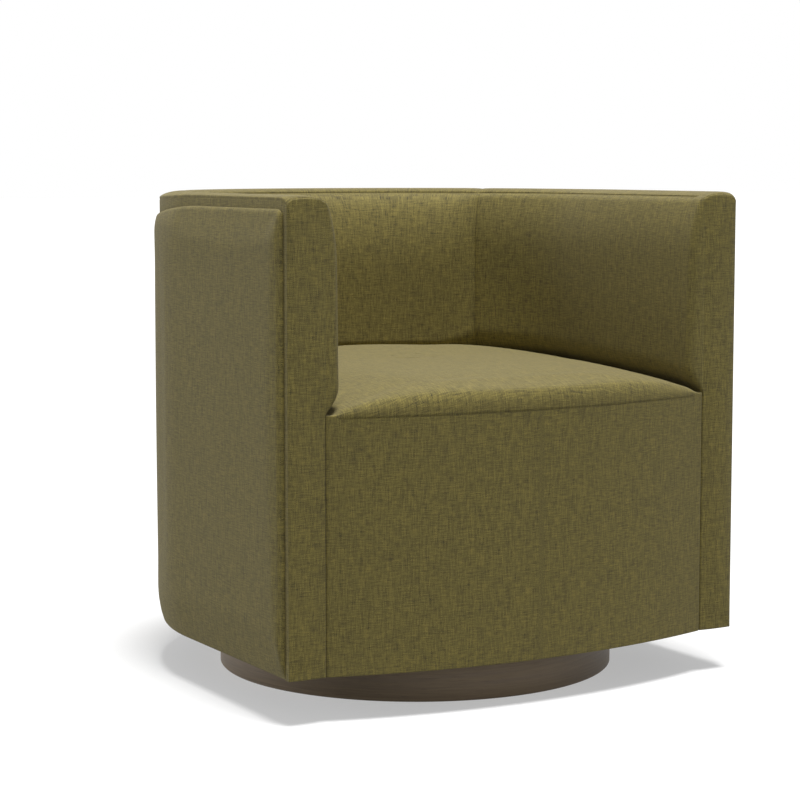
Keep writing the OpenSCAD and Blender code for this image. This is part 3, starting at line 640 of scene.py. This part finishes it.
CLOTH = upholstery_cloth()
WOOD = stained_wood()
FINISHES = {
    "plywood": raw_wood("plywood", srgb(206, 178, 136), srgb(176, 146, 106), 0.25, 0.006),
    "frame_timber": raw_wood("frame timber", srgb(204, 170, 124), srgb(168, 132, 90), 0.30, 0.008),
    "hardboard": raw_wood("bent board", srgb(136, 104, 74), srgb(110, 82, 58), 0.01, 0.003),
    "plate_steel": metal("plate steel", srgb(176, 178, 182), 0.42, 0.0012),
    "zinc_plated_steel": metal("zinc-plated steel", srgb(206, 207, 210), 0.30, 0.0008),
    "ball_steel": metal("bearing steel", srgb(222, 222, 226), 0.12, 0.0006),
    "bearing_nylon": moulded("natural nylon", srgb(224, 219, 202), 0.45),
    "glide_nylon": moulded("black nylon", srgb(38, 38, 38), 0.5),
    "webbing": plain_cloth("webbing", srgb(34, 34, 36), srgb(64, 64, 68), 0.0022),
    "dust_cloth": plain_cloth("lining cloth", srgb(16, 16, 16), srgb(38, 38, 38), 0.0008),
    "foam": cut_foam("cut foam"),
}


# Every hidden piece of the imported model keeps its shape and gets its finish
for part in frame["record"]["subparts"]:
    finish = FINISHES.get(part["material_slot"])
    if finish:
        node = frame["nodes"][part["node"]]
        node.data.materials.clear()
        node.data.materials.append(finish)


def wall_run(co, radius):
    """Distance along the wall from the middle of the back, for cloth that follows it."""
    if co.y >= ARC_Y:
        return radius * math.atan2(co.x, co.y - ARC_Y)
    side = math.copysign(1.0, co.x)
    return side * (radius * math.pi / 2 + ARC_Y - co.y)


def lies_flat(normal):
    return abs(normal.z) > 0.7


def wall_cut(radius):
    """Cloth coordinates on an upright face of the wall: along it and up it."""
    def cut(co, normal):
        return wall_run(co, radius), co.z + (inwards_of(co) if lies_flat(normal) else 0.0)
    return cut


def band_cut(co, normal):
    """Cloth coordinates on the top band: along it and across it."""
    return wall_run(co, HALF_W - TOP_W / 2), inwards_of(co)


def front_cut(co, normal):
    """Cloth coordinates on an upright face that looks forwards or sideways."""
    return co.x + (co.y - ARM_Y) * math.copysign(1.0, co.x), co.z


def facing_cut(co, normal):
    """Cloth coordinates of an arm front, whose cloth turns both upright corners."""
    outwards = math.copysign(1.0, co.x) * (1 if inwards_of(co) < ARM_W / 2 else -1)
    return co.x + (co.y - ARM_Y) * outwards, co.z


def seat_cut(co, normal):
    """The seat's cloth runs back from its front roll; it turns down over the roll."""
    drop = max(0.0, seat_edge(co.y) - co.z) if front_gap(co.x, co.y) < ROLL_D else 0.0
    return co.x, co.y - drop


def wall_points(outline, polar):
    """Points of a (distance in, height) outline at a polar angle round the back."""
    return [(math.cos(polar) * (HALF_W - d), ARC_Y + math.sin(polar) * (HALF_W - d), z) for d, z in outline]


def split(length):
    """Equal steps of about one cell that fill a length."""
    count = max(1, round(length / CELL))
    return [length / count] * count


def fanned(length, edge):
    """Steps that start small over an edge's width and grow to a cell, filling a length."""
    fine = [edge * share for share in EDGE_FAN]
    return fine + split(length - sum(fine))


def wall_start(outline, y_front):
    """A new mesh with an outline of (distance in, height) points closed at the right arm's front."""
    bm = bmesh.new()
    start = ring(bm, [(HALF_W - d, y_front, z) for d, z in outline])
    close(bm, start)
    return bm, start


def arc_sweep(bm, edges, angle, sewn_start=False):
    """Spins a ring round the back in steps of about one cell, with small steps at its sewn ends."""
    first = SEAM_STEPS if sewn_start else []
    length = angle * HALF_W - sum(SEAM_STEPS) - sum(first)
    for step in first + split(length) + SEAM_STEPS[::-1]:
        edges = turn(bm, edges, (0, ARC_Y, 0), step / HALF_W)
    return edges


def sweep_arm(outline, y_front, end_angle, front_edge):
    """Sweeps an outline along the right arm, from y_front to a polar angle round the back."""
    bm, start = wall_start(outline, y_front)
    bend = pull(bm, start, fanned(ARC_Y - y_front, front_edge))
    close(bm, arc_sweep(bm, bend, end_angle))
    return bm


def sweep_back(outline, start_angle, end_angle):
    """Sweeps an outline round the back between two polar angles."""
    bm = bmesh.new()
    start = ring(bm, wall_points(outline, start_angle))
    close(bm, start)
    close(bm, arc_sweep(bm, start, end_angle - start_angle, sewn_start=True))
    return bm


def sweep_whole(outline, y_front, front_edge):
    """Sweeps an outline along both arms and the back."""
    bm, start = wall_start(outline, y_front)
    steps = fanned(ARC_Y - y_front, front_edge)
    bend = pull(bm, start, steps)
    far = turn(bm, bend, (0, ARC_Y, 0), math.pi, round(math.pi * HALF_W / CELL))
    close(bm, pull(bm, far, steps[::-1], (0, -1, 0)))
    return bm


def mirrored(bm):
    bmesh.ops.scale(bm, verts=bm.verts, vec=(-1, 1, 1))
    return bm


def three_lengths(outline, y_front, front_edge, seam):
    """Sweeps an outline along each arm and round the back, with a slit at each crosswise seam."""
    right = sweep_arm(outline, y_front, seam - SLIT, front_edge)
    left = mirrored(right.copy())
    back = sweep_back(outline, seam + SLIT, math.pi - seam - SLIT)
    return ("right", right), ("left", left), ("back", back)


def polar_of(co):
    """Polar angle round the back, which goes on below 0 and above half a turn along the arms."""
    if co.y >= ARC_Y:
        return math.atan2(co.y - ARC_Y, co.x)
    past = (ARC_Y - co.y) / HALF_W
    return -past if co.x > 0 else math.pi + past


def seam_distance(co, seam=SEAM_ANGLE):
    """How far along the wall a point is from the nearer of two seams, one on each side."""
    polar = polar_of(co)
    return min(abs(polar - seam), abs(polar - math.pi + seam)) * HALF_W


def push_in(vert, distance):
    """Moves a point of the wall by a distance towards the inside of the chair's wall."""
    if vert.co.y < ARC_Y:
        vert.co.x -= distance * math.copysign(1.0, vert.co.x)
    else:
        flat = Vector((vert.co.x, vert.co.y - ARC_Y, 0))
        vert.co -= flat.normalized() * distance


# Top band: a crowned strip between an outer and an inner seam, in three lengths
BAND_FRONT_Y = ARM_Y + 0.0015
BAND_ROLL = 0.014
BAND_LAP = 0.0012
BAND_TAPER = 0.004
GROOVE_W = 0.0016


def band_outline():
    """The band's section as (distance in, height): shape_band sets the height of its face."""
    face = [(TOP_W * t, BODY_H) for t in eased(20)]
    inner = [(TOP_W - BAND_LAP, SEAM_Z - 0.004), (TOP_W - BAND_TAPER, RIB_TOP)]
    outer = [(BAND_TAPER, RIB_TOP), (BAND_LAP, SEAM_Z - 0.012)]
    return face + inner + [(TOP_W / 2, RIB_TOP)] + outer


def shape_band(bm):
    """Crowns the band, rolls it down at its front end, and pinches it where a crosswise seam crosses."""
    for vert in bm.verts:
        if vert.co.z < SEAM_Z - 0.001:
            continue
        d = inwards_of(vert.co)
        high = crown_face(d, vert.co.y)
        facing = facing_top(d) + 0.0006
        front = quarter(vert.co.y - BAND_FRONT_Y, BAND_ROLL) if vert.co.y < ARC_Y else 1.0
        gap = seam_distance(vert.co)
        pinch = 0.0012 * math.exp(-gap / 0.006) + 0.0007 * (1 - quarter(gap, GROOVE_W))
        vert.co.z = mix(facing, high, front) - pinch


def crown_share(d):
    """1 in the middle of the band and 0 at its two seams."""
    return 1 - abs(2 * clamp01(d / TOP_W) - 1)


def top_band():
    for name, bm in three_lengths(band_outline(), BAND_FRONT_Y, FRONT_EDGE, SEAM_ANGLE):
        shape_band(bm)
        piece = to_piece(bm, f"{name}_top_band", band_cut)
        swell(piece, lambda co: crown_share(inwards_of(co)) < 0.3 or seam_distance(co) < 0.004, 0.0010)
        subdivided(piece)
        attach(piece, "seat")
        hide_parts(f"{name}_top_cover", f"{name}_top_foam")


# Inside pads: two arms and the back, joined by upright seams; they start under the arm fronts' cloth
PAD_LAP = 0.004
INNER_R = HALF_W - ARM_W - PAD_SWELL


def inside_outline():
    """The pads' section as (distance in, height), as it is at the arm's front."""
    low = PAD_LOW + CLEAR
    top = INNER_SEAM_Z - 0.0022
    turn_in = [(pad_face(top, HALF_W, ARM_Y) - 0.0008 * n, top + 0.0016 * math.sin(n * 0.8)) for n in (1, 2)]
    heights = [mix(low, SEAM_H, t) for t in (0.0, 0.5)] + [mix(SEAM_H, top, t) for t in eased(34)]
    face = [(pad_face(z, HALF_W, ARM_Y), z) for z in heights]
    back = [(PAD_BACK_D, top - 0.008), (PAD_BACK_D, mix(low, top, 0.5)), (PAD_BACK_D, low)]
    return face + turn_in + back


def shape_inside(bm):
    """Turns the foot of the face under above the seat, and draws it in at the crosswise seams."""
    for vert in bm.verts:
        if inwards_of(vert.co) > PAD_BACK_D + 0.002:
            push_in(vert, pad_face(vert.co.z, vert.co.x, vert.co.y) - pad_face(vert.co.z, HALF_W, ARM_Y))
            gap = seam_distance(vert.co, UPRIGHT_ANGLE)
            push_in(vert, -0.0004 * (1 - quarter(gap, GROOVE_W)) - 0.0022 * math.exp(-gap / 0.009))
            if vert.co.y < JOINT_Y - 0.0002:
                push_in(vert, -0.00025)


def inside_pads():
    for name, bm in three_lengths(inside_outline(), JOINT_Y - PAD_LAP, PAD_LAP, UPRIGHT_ANGLE):
        shape_inside(bm)
        piece = to_piece(bm, f"{name}_inside_pad", wall_cut(INNER_R))
        subdivided(piece)
        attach(piece, "seat")
        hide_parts(f"{name}_inside_cover", f"{name}_inside_foam")


# Outside cover: the shell's own face, seen above and below the wrap panel
OUTSIDE_BACK_D = 0.0098
OUTSIDE_ROLL = 0.0035
ROLL_ANGLES = (0.0, 0.4, 0.8, 1.2, 1.57)
HEM_W = 0.020


def outside_outline():
    """The shell's section as (distance in, height), from its top roll down to the hem and back up."""
    rolls = [(OUTSIDE_ROLL * (1 - math.sin(a)), OUTSIDE_ROLL * (1 - math.cos(a))) for a in ROLL_ANGLES]
    upper = [(inwards, OUTER_SEAM_Z - down) for inwards, down in rolls]
    lower = [(inwards, SHELL_Z + up) for up, inwards in rolls]
    face = [(0.0, mix(OUTER_SEAM_Z - OUTSIDE_ROLL, SHELL_Z + OUTSIDE_ROLL, n / 24)) for n in range(1, 24)]
    hem = [(HEM_W, SHELL_Z), (HEM_W, DECK_Z)]
    back = [(OUTSIDE_BACK_D, z) for z in (DECK_Z + 0.0005, mix(DECK_Z, RIB_TOP, 0.5), RIB_TOP)]
    return upper + face + lower + hem + back


def outside_cover():
    bm = sweep_whole(outside_outline(), PAD_BACK_Y, FRONT_EDGE)
    for vert in bm.verts:
        share = clamp01((vert.co.z - SEAM_Z + 0.060) / 0.060)
        vert.co.z += (outer_seam(vert.co.y) - 0.0010 - OUTER_SEAM_Z) * share
    piece = to_piece(bm, "outside_shell", wall_cut(HALF_W))
    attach(piece, "seat")
    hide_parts("outside_cover", "outside_padding")


# Wrap panel: a thin pad round the outside, with long rolls to its edges
WRAP_TOP = wrap_high.z + 0.0035
WRAP_LOW = wrap_low.z - 0.0025
WRAP_FRONT_Y = wrap_low.y - 0.003
WRAP_ROLL_TOP = 0.036
WRAP_ROLL_LOW = 0.052
WRAP_ROLL_FRONT = 0.009
WRAP_EDGE = 0.40
WRAP_FULL = 0.0013
WRAP_TOP_EDGE = 0.42
WRAP_FAN = (0, 0.0006, 0.0018, 0.0038, 0.0068, 0.011, 0.016, 0.022, 0.029, 0.037)
WRAP_DROP = 0.018
WRAP_DROP_REACH = 0.120


def wrap_outline():
    """The panel's section as (distance in, height), which stands out from the outside cover."""
    heights = [WRAP_TOP - step for step in WRAP_FAN]
    heights += [mix(WRAP_TOP - WRAP_FAN[-1], WRAP_LOW + 0.046, n / 62) for n in range(1, 62)]
    heights += [WRAP_LOW + step * 1.25 for step in reversed(WRAP_FAN)]
    face = []
    for z in heights:
        top = mix(soft_roll(WRAP_TOP - z, WRAP_ROLL_TOP), quarter(WRAP_TOP - z, 0.0075), WRAP_TOP_EDGE)
        roll = top * soft_roll(z - WRAP_LOW, WRAP_ROLL_LOW)
        full = WRAP_FULL * math.sin(math.pi * clamp01((z - WRAP_LOW) / (WRAP_TOP - WRAP_LOW)))
        face.append((-CLEAR - (WRAP_T - CLEAR + full) * roll, z))
    return face + [(-CLEAR * 0.5, mix(WRAP_LOW, WRAP_TOP, n / 8)) for n in range(1, 8)]


def shape_wrap(bm):
    """Thins the panel towards its front edges, and lowers its top edge round the back."""
    for vert in bm.verts:
        proud = -inwards_of(vert.co)
        if vert.co.y < ARC_Y and proud > CLEAR:
            along = vert.co.y - WRAP_FRONT_Y
            roll = mix(soft_roll(along, WRAP_ROLL_FRONT), quarter(along, 0.0012), WRAP_EDGE)
            push_in(vert, (proud - CLEAR) * (1 - roll))
        share = clamp01((vert.co.z - WRAP_TOP + WRAP_DROP_REACH) / WRAP_DROP_REACH)
        corner = 0.006 * (1 - soft_roll(vert.co.y - WRAP_FRONT_Y, 0.014))
        vert.co.z -= (WRAP_DROP * back_share(vert.co.y) + corner) * share * share


def wrap_panel():
    bm = sweep_whole(wrap_outline(), WRAP_FRONT_Y, WRAP_ROLL_FRONT)
    shape_wrap(bm)
    piece = to_piece(bm, "wrap_panel", wall_cut(HALF_W + WRAP_T))
    swell(piece, lambda co: -inwards_of(co) < 0.6 * WRAP_T, 0.0015)
    subdivided(piece)
    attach(piece, "seat")
    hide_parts("wrap_cover", "wrap_pad")


# Arm fronts: a facing whose cloth turns both upright corners
OUTER_CORNER = 0.0012
FACING_EDGE = 0.0010
FACING_TOP = BODY_H - 0.0077
FACING_CROWN = 0.0035
CORNER_FALL = 0.0070
CORNER_FALL_RUN = 0.010
FACING_PILLOW = 0.0015
FACING_FAN = (0, 0.0006, 0.0014, 0.0024, 0.0036, 0.0052, 0.0075, 0.011)
PAST_SEAM = (0.05, 0.14, 0.26, 0.38, 0.5, 0.62, 0.73, 0.83, 0.91, 0.96, 0.99, 1.0)

# How far back each turn of the facing's edge goes at most, and how far short of its joint it stops
RETURN_STEPS = ((0.0006, 0.0008), (0.0014, 0.0008), (0.003, 0.0008), (math.inf, 0.0003), (math.inf, 0.0))


def facing_top(d):
    """Height of the facing's upper edge, which is crowned and rounded at the outer corner."""
    t = clamp01(d / ARM_W)
    crown = FACING_CROWN * (1 - (2 * t - 1) ** 2)
    return FACING_TOP + 0.0005 * t + crown - CORNER_FALL * (1 - quarter(d, CORNER_FALL_RUN))


def spans(start, end, cell):
    """Places from start to end, close together at both ends."""
    length = end - start
    edge = FACING_FAN[-1]
    count = max(1, round((length - 2 * edge) / cell))
    middle = [mix(start + edge, end - edge, n / count) for n in range(1, count)]
    return [start + step for step in FACING_FAN] + middle + [end - step for step in reversed(FACING_FAN)]


def facing_place(across, z):
    """Distance in from the outside cover, for a share across: 0 to 1, and 1 to 2 past the seam."""
    face = pad_face(z, HALF_W, ARM_Y)
    past_seam = max(face - ARM_W, 0.004)
    seam = face - past_seam
    return seam * across if across <= 1 else seam + past_seam * (across - 1)


def facing_sink(d, z):
    """How far the cloth falls back from the facing's plane at its corners and its seam."""
    face = pad_face(z, HALF_W, ARM_Y)
    over = clamp01((face - ARM_W) / PAD_SWELL)
    inner_corner = mix(0.0028, 0.013, over)
    below = facing_top(d) - z
    sink = OUTER_CORNER * (1 - quarter(d, OUTER_CORNER))
    sink += inner_corner * (1 - quarter(face - d, inner_corner))
    sink += FACING_EDGE * (1 - quarter(below, 0.0014)) + FACING_EDGE * (1 - quarter(z - SHELL_Z, 0.0012))
    seam = 0.0007 * math.exp(-((d - ARM_W) / GROOVE_W) ** 2) * over
    pillow = FACING_PILLOW * math.sin(math.pi * clamp01(d / face)) * clamp01(below / 0.05)
    return sink + seam - pillow


def facing_sheet():
    """The face of the right arm front, from its outer corner past the seam to the inside pad."""
    across = [place / ARM_W for place in spans(0.0, ARM_W, 0.006)] + [1 + share for share in PAST_SEAM]
    up = [(place - SHELL_Z) / (BODY_H - SHELL_Z) for place in spans(SHELL_Z, BODY_H, 0.007)]
    bm = bmesh.new()
    made = bmesh.ops.create_grid(bm, x_segments=len(across) - 1, y_segments=len(up) - 1, size=1)["verts"]
    for vert in made:
        column = round((vert.co.x + 1) / 2 * (len(across) - 1))
        row = round((vert.co.y + 1) / 2 * (len(up) - 1))
        d = facing_place(across[column], mix(SHELL_Z, SEAM_Z, up[row]))
        z = mix(SHELL_Z, facing_top(d), up[row])
        vert.co = (HALF_W - d, ARM_Y + facing_sink(d, z), z)
    return bm


def turn_facing(bm):
    """Turns the sheet's edge back round its corners, draws it in behind them and closes it."""
    rim = [e for e in bm.edges if e.is_boundary]
    for step, short in RETURN_STEPS:
        rim = grown(bm, rim)
        for vert in ring_verts(rim):
            outer = clamp01(1 - inwards_of(vert.co) / ARM_W)
            back = mix(JOINT_Y, PAD_BACK_Y, clamp01(2.5 * outer))
            y = min(vert.co.y + step, back - short)
            high = clamp01((vert.co.z - SEAM_Z + 0.030) / 0.030)
            lift = (outer_seam(y) - outer_seam(vert.co.y)) * high * outer
            vert.co = (vert.co.x, y, vert.co.z + lift)
    rim = grown(bm, rim)
    for vert in ring_verts(rim):
        vert.co.x = mix(vert.co.x, HALF_W - ARM_W / 2, 0.016)
        vert.co.z = mix(vert.co.z, BODY_H / 2, 0.002)
    close(bm, rim)


def arm_facing(name, side):
    bm = facing_sheet()
    turn_facing(bm)
    if side < 0:
        mirrored(bm)
    piece = to_piece(bm, f"{name}_arm_front", facing_cut)
    swell(piece, lambda co: co.y > ARM_Y + 0.0006 or abs(HALF_W - abs(co.x) - ARM_W) < 0.004, 0.0012)
    subdivided(piece)
    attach(piece, "seat")
    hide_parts(f"{name}_arm_facing", f"{name}_arm_pad")


def next_vert(vert, fresh):
    """The one among the fresh points that an extrusion made from this one."""
    return next(edge.other_vert(vert) for edge in vert.link_edges if edge.other_vert(vert) in fresh)


# Seat: a crowned cushion between the pads, with a roll down to the seam along its front
SEAT_SIDE_N, SEAT_BACK_N, SEAT_FRONT_N = 30, 60, 72
SEAT_ROLL_ROWS = (0, 0.06, 0.16, 0.3, 0.46, 0.62, 0.77, 0.89, 0.97, 1.0)
SEAT_FACE_ROWS = (0.992, 0.982, 0.968, 0.95, 0.925, 0.89, 0.85, 0.80, 0.74, 0.67, 0.59, 0.50, 0.40,
                  0.30, 0.2, 0.1)


def seat_ring(t):
    """The seat's edge at share t of the way up from the front seam to its edge line."""
    inset = ROLL_D * (1 - (1 - t ** ROLL_POWER) ** (1 / ROLL_POWER))
    corner_y = BOW_Y - math.sqrt((BOW_R - inset) ** 2 - PANEL_HALF ** 2)

    def beside(x, y):
        """How far out and how high the edge is beside the pads at a place."""
        return mix(PANEL_HALF - CLEAR, seat_reach(x, y), t), mix(SEAM_H, seat_edge(y) - seat_tuck(y), t)

    corner_x = beside(HALF_W, corner_y)[0]
    side = []
    for n in range(1, SEAT_SIDE_N + 1):
        y = mix(corner_y, ARC_Y, n / SEAT_SIDE_N)
        out, z = beside(HALF_W, y)
        side.append((out, y, z))
    back = []
    for n in range(1, SEAT_BACK_N):
        a = math.pi * n / SEAT_BACK_N
        out, z = beside(INNER_R * math.cos(a), ARC_Y + INNER_R * math.sin(a))
        back.append((out * math.cos(a), ARC_Y + out * math.sin(a), z))
    front = []
    for n in range(SEAT_FRONT_N + 1):
        x = mix(-corner_x, corner_x, n / SEAT_FRONT_N)
        y = BOW_Y - math.sqrt((BOW_R - inset) ** 2 - x * x)
        front.append((x, y, SEAM_H if t == 0 else seat_face(x, y)))
    return side + back + [(-x, y, z) for x, y, z in reversed(side)] + front


def seat_rows():
    """Rings of the seat from its underside up the front roll, and then inwards over the face."""
    middle_y = ARC_Y - 0.02
    rows = [[(x, y, SEAT_LOW) for x, y, _ in seat_ring(0)]] + [seat_ring(t) for t in SEAT_ROLL_ROWS]
    edge = rows[-1]
    for share in SEAT_FACE_ROWS:
        places = [(x * share, mix(middle_y, y, share)) for x, y, _ in edge]
        rows.append([(x, y, seat_face(x, y)) for x, y in places])
    return rows


def seat_cushion():
    first, *others = seat_rows()
    bm = bmesh.new()
    edges = ring(bm, first)
    order = [edge.verts[0] for edge in edges]
    close(bm, edges)
    for row in others:
        edges = grown(bm, edges)
        fresh = set(ring_verts(edges))
        order = [next_vert(vert, fresh) for vert in order]
        for vert, point in zip(order, row):
            vert.co = point
    close(bm, edges)
    piece = to_piece(bm, "seat_cushion", seat_cut)
    swell(piece, lambda co: seat_side_gap(co.x, co.y) < 0.012 or front_gap(co.x, co.y) < 0.010, 0.0035)
    subdivided(piece)
    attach(piece, "seat")
    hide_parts("seat_cover", "seat_foam_crown")


# Front panel: bowed out between the arms, under the seat's seam
FRONT_PAD_D = 0.0138
PANEL_TOP = SEAM_H - 0.0002
PANEL_ROLL = 0.0009
PANEL_STEPS = [0.0006, 0.0012, 0.002, 0.003, 0.004, 0.005]
PANEL_SIDE_DROP = 0.0038
PANEL_SIDE_ROLL = 0.0045


def panel_outline():
    """The panel's section as (distance in, height), from its lower roll up the face and back down."""
    top, low, roll = PANEL_TOP, SHELL_Z, PANEL_ROLL
    lower = [(roll * (1 - math.sin(a)), low + roll * (1 - math.cos(a))) for a in ROLL_ANGLES[:-1]]
    face = [(0.0, mix(low + roll, top - roll, n / 38)) for n in range(39)]
    upper = [(roll * (1 - math.cos(a)), top - roll * (1 - math.sin(a))) for a in ROLL_ANGLES[1:-1]]
    back = [(roll, top), (FRONT_PAD_D, SEAT_LOW - CLEAR), (FRONT_PAD_D, DECK_Z)]
    return lower + face + upper + back + [(HEM_W, DECK_Z), (HEM_W, low)]


def front_panel():
    half = math.asin((PANEL_HALF - CLEAR) / BOW_R)
    side_x, side_y = math.sin(half), math.cos(half)
    bm = bmesh.new()
    edges = ring(bm, [(-(BOW_R - d) * side_x, BOW_Y - (BOW_R - d) * side_y, z) for d, z in panel_outline()])
    close(bm, edges)
    for width in PANEL_STEPS + split(2 * (half * BOW_R - sum(PANEL_STEPS))) + PANEL_STEPS[::-1]:
        edges = turn(bm, edges, (0, BOW_Y, 0), width / BOW_R)
    close(bm, edges)
    for vert in bm.verts:
        if front_gap(vert.co.x, vert.co.y) < 0.006:
            vert.co.y += PANEL_SIDE_DROP * (1 - quarter(PANEL_HALF - abs(vert.co.x), PANEL_SIDE_ROLL))
    piece = to_piece(bm, "front_panel", front_cut)
    subdivided(piece)
    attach(piece, "seat")
    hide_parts("front_panel_cover", "front_panel_foam")


# Plinth rim: a turned ring with a rounded lower edge and a rebate for the board
RIM_W = 0.024
RIM_Z = 0.0002
RIM_EDGE = 0.002
RIM_LEDGE = 0.018


def plinth_rim():
    swivel_y = frame["joints"][0]["pos_m"][1]
    high, ledge_z = rim_high.z, rim_high.z - RIM_LEDGE
    inner_r, rebate_r = RIM_R - RIM_W, RIM_R - RIM_W / 2
    profile = [(inner_r, RIM_Z), (RIM_R - RIM_EDGE, RIM_Z), (RIM_R, RIM_Z + RIM_EDGE), (RIM_R, high),
               (rebate_r, high), (rebate_r, ledge_z), (inner_r, ledge_z)]
    bm = bmesh.new()
    section = ring(bm, [(r, swivel_y, z) for r, z in profile])
    bmesh.ops.spin(bm, geom=ring_verts(section) + section, cent=(0, swivel_y, 0), axis=(0, 0, 1),
                   angle=2 * math.pi, steps=256, use_merge=True)
    bmesh.ops.remove_doubles(bm, verts=bm.verts, dist=1e-5)
    rounds = [e for e in bm.edges if is_outer_hoop(e, swivel_y)]
    bmesh.ops.bevel(bm, geom=rounds, offset=0.0008, offset_type="OFFSET", segments=3, profile=0.5,
                    affect="EDGES", material=-1, clamp_overlap=True)

    def along_rim(co, normal):
        run = math.atan2(co.x, -(co.y - swivel_y)) * RIM_R
        return run, co.z + (math.hypot(co.x, co.y - swivel_y) if lies_flat(normal) else 0.0)

    piece = to_piece(bm, "stained_rim", along_rim, WOOD)
    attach(piece, "base")
    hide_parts("plinth_rim")


def is_outer_hoop(edge, centre_y):
    """True for an edge that runs round the rim's outer face, at one height and one radius."""
    a, b = (v.co for v in edge.verts)
    near, far = sorted(math.hypot(co.x, co.y - centre_y) for co in (a, b))
    return abs(a.z - b.z) < 1e-6 and far - near < 1e-5 and near > RIM_R - RIM_W / 4


# Stage: a white floor that keeps the shadow, and a white world
def seen_rays(helper):
    """1 for rays from the camera or off and through shiny pieces, and 0 for those that light the cloth."""
    paths = helper.node("ShaderNodeLightPath")
    shiny = helper.maths("MAXIMUM", paths.outputs["Is Glossy Ray"], paths.outputs["Is Transmission Ray"])
    return helper.maths("MAXIMUM", paths.outputs["Is Camera Ray"], shiny)


def stage():
    """A floor that looks white, and that lights the chair no more than a grey one would."""
    bm = bmesh.new()
    bmesh.ops.create_grid(bm, x_segments=1, y_segments=1, size=40)
    mesh = bpy.data.meshes.new("floor")
    bm.to_mesh(mesh)
    bm.free()
    floor = bpy.data.objects.new("floor", mesh)
    bpy.context.scene.collection.objects.link(floor)
    made, s, bsdf = material("white floor")
    seen = seen_rays(s)
    s.link(s.blend(seen, (0.20, 0.20, 0.20, 1), (0.98, 0.98, 0.98, 1)), bsdf.inputs["Base Color"])
    bsdf.inputs["Roughness"].default_value = 0.9
    bsdf.inputs["Specular IOR Level"].default_value = 0.0
    glow = s.node("ShaderNodeEmission")
    blend = s.node("ShaderNodeMixShader")
    s.link(s.maths("MULTIPLY", seen, 0.42), blend.inputs[0])
    s.link(bsdf.outputs[0], blend.inputs[1])
    s.link(glow.outputs[0], blend.inputs[2])
    s.link(blend.outputs[0], made.node_tree.nodes["Material Output"].inputs["Surface"])
    mesh.materials.append(made)


def world():
    made = bpy.data.worlds.new("white studio")
    bpy.context.scene.world = made
    made.use_nodes = True
    s = Shader(made.node_tree)
    ambient = made.node_tree.nodes["Background"]
    ambient.inputs["Color"].default_value = (1, 1, 1, 1)
    ambient.inputs["Strength"].default_value = 0.22
    white = s.node("ShaderNodeBackground")
    white.inputs["Color"].default_value = (1, 1, 1, 1)
    white.inputs["Strength"].default_value = 1.0
    blend = s.node("ShaderNodeMixShader")
    s.link(seen_rays(s), blend.inputs[0])
    s.link(ambient.outputs[0], blend.inputs[1])
    s.link(white.outputs[0], blend.inputs[2])
    s.link(blend.outputs[0], made.node_tree.nodes["World Output"].inputs["Surface"])


def direction(heading, height):
    """A direction at a heading (0 to the chair's front, 90 to its right) and a height, in degrees."""
    a, b = math.radians(heading), math.radians(height)
    return Vector((math.sin(a) * math.cos(b), -math.cos(a) * math.cos(b), math.sin(b)))


def lamp(name, heading, height, power, width):
    """A distant lamp, as wide as its shadows are soft, in degrees."""
    data = bpy.data.lights.new(name, "SUN")
    data.energy, data.angle = power, math.radians(width)
    made = bpy.data.objects.new(name, data)
    bpy.context.scene.collection.objects.link(made)
    made.location = direction(heading, height) * 6.0
    made.rotation_euler = (-direction(heading, height)).to_track_quat("-Z", "Y").to_euler()


def lights():
    """A broad lamp overhead, and two soft ones low in front and on the left."""
    lamp("overhead", 0, 80, 3.65, 17)
    lamp("front", -10, 25, 0.10, 30)
    lamp("left", -135, 15, 0.66, 20)


def camera():
    """The photograph's camera: its place, the way it looks and its lens."""
    data = bpy.data.cameras.new("camera")
    data.sensor_width = 36
    data.lens = 102.32
    made = bpy.data.objects.new("camera", data)
    bpy.context.scene.collection.objects.link(made)
    made.location = (-1.7333, -3.0125, 0.7609)
    made.rotation_euler = direction(150.22, -6.0).to_track_quat("-Z", "Y").to_euler()
    bpy.context.scene.camera = made


top_band()
inside_pads()
outside_cover()
wrap_panel()
arm_facing("right", 1)
arm_facing("left", -1)
seat_cushion()
front_panel()
plinth_rim()

stage()
world()
lights()
camera()
bpy.context.scene.view_settings.view_transform = "Standard"
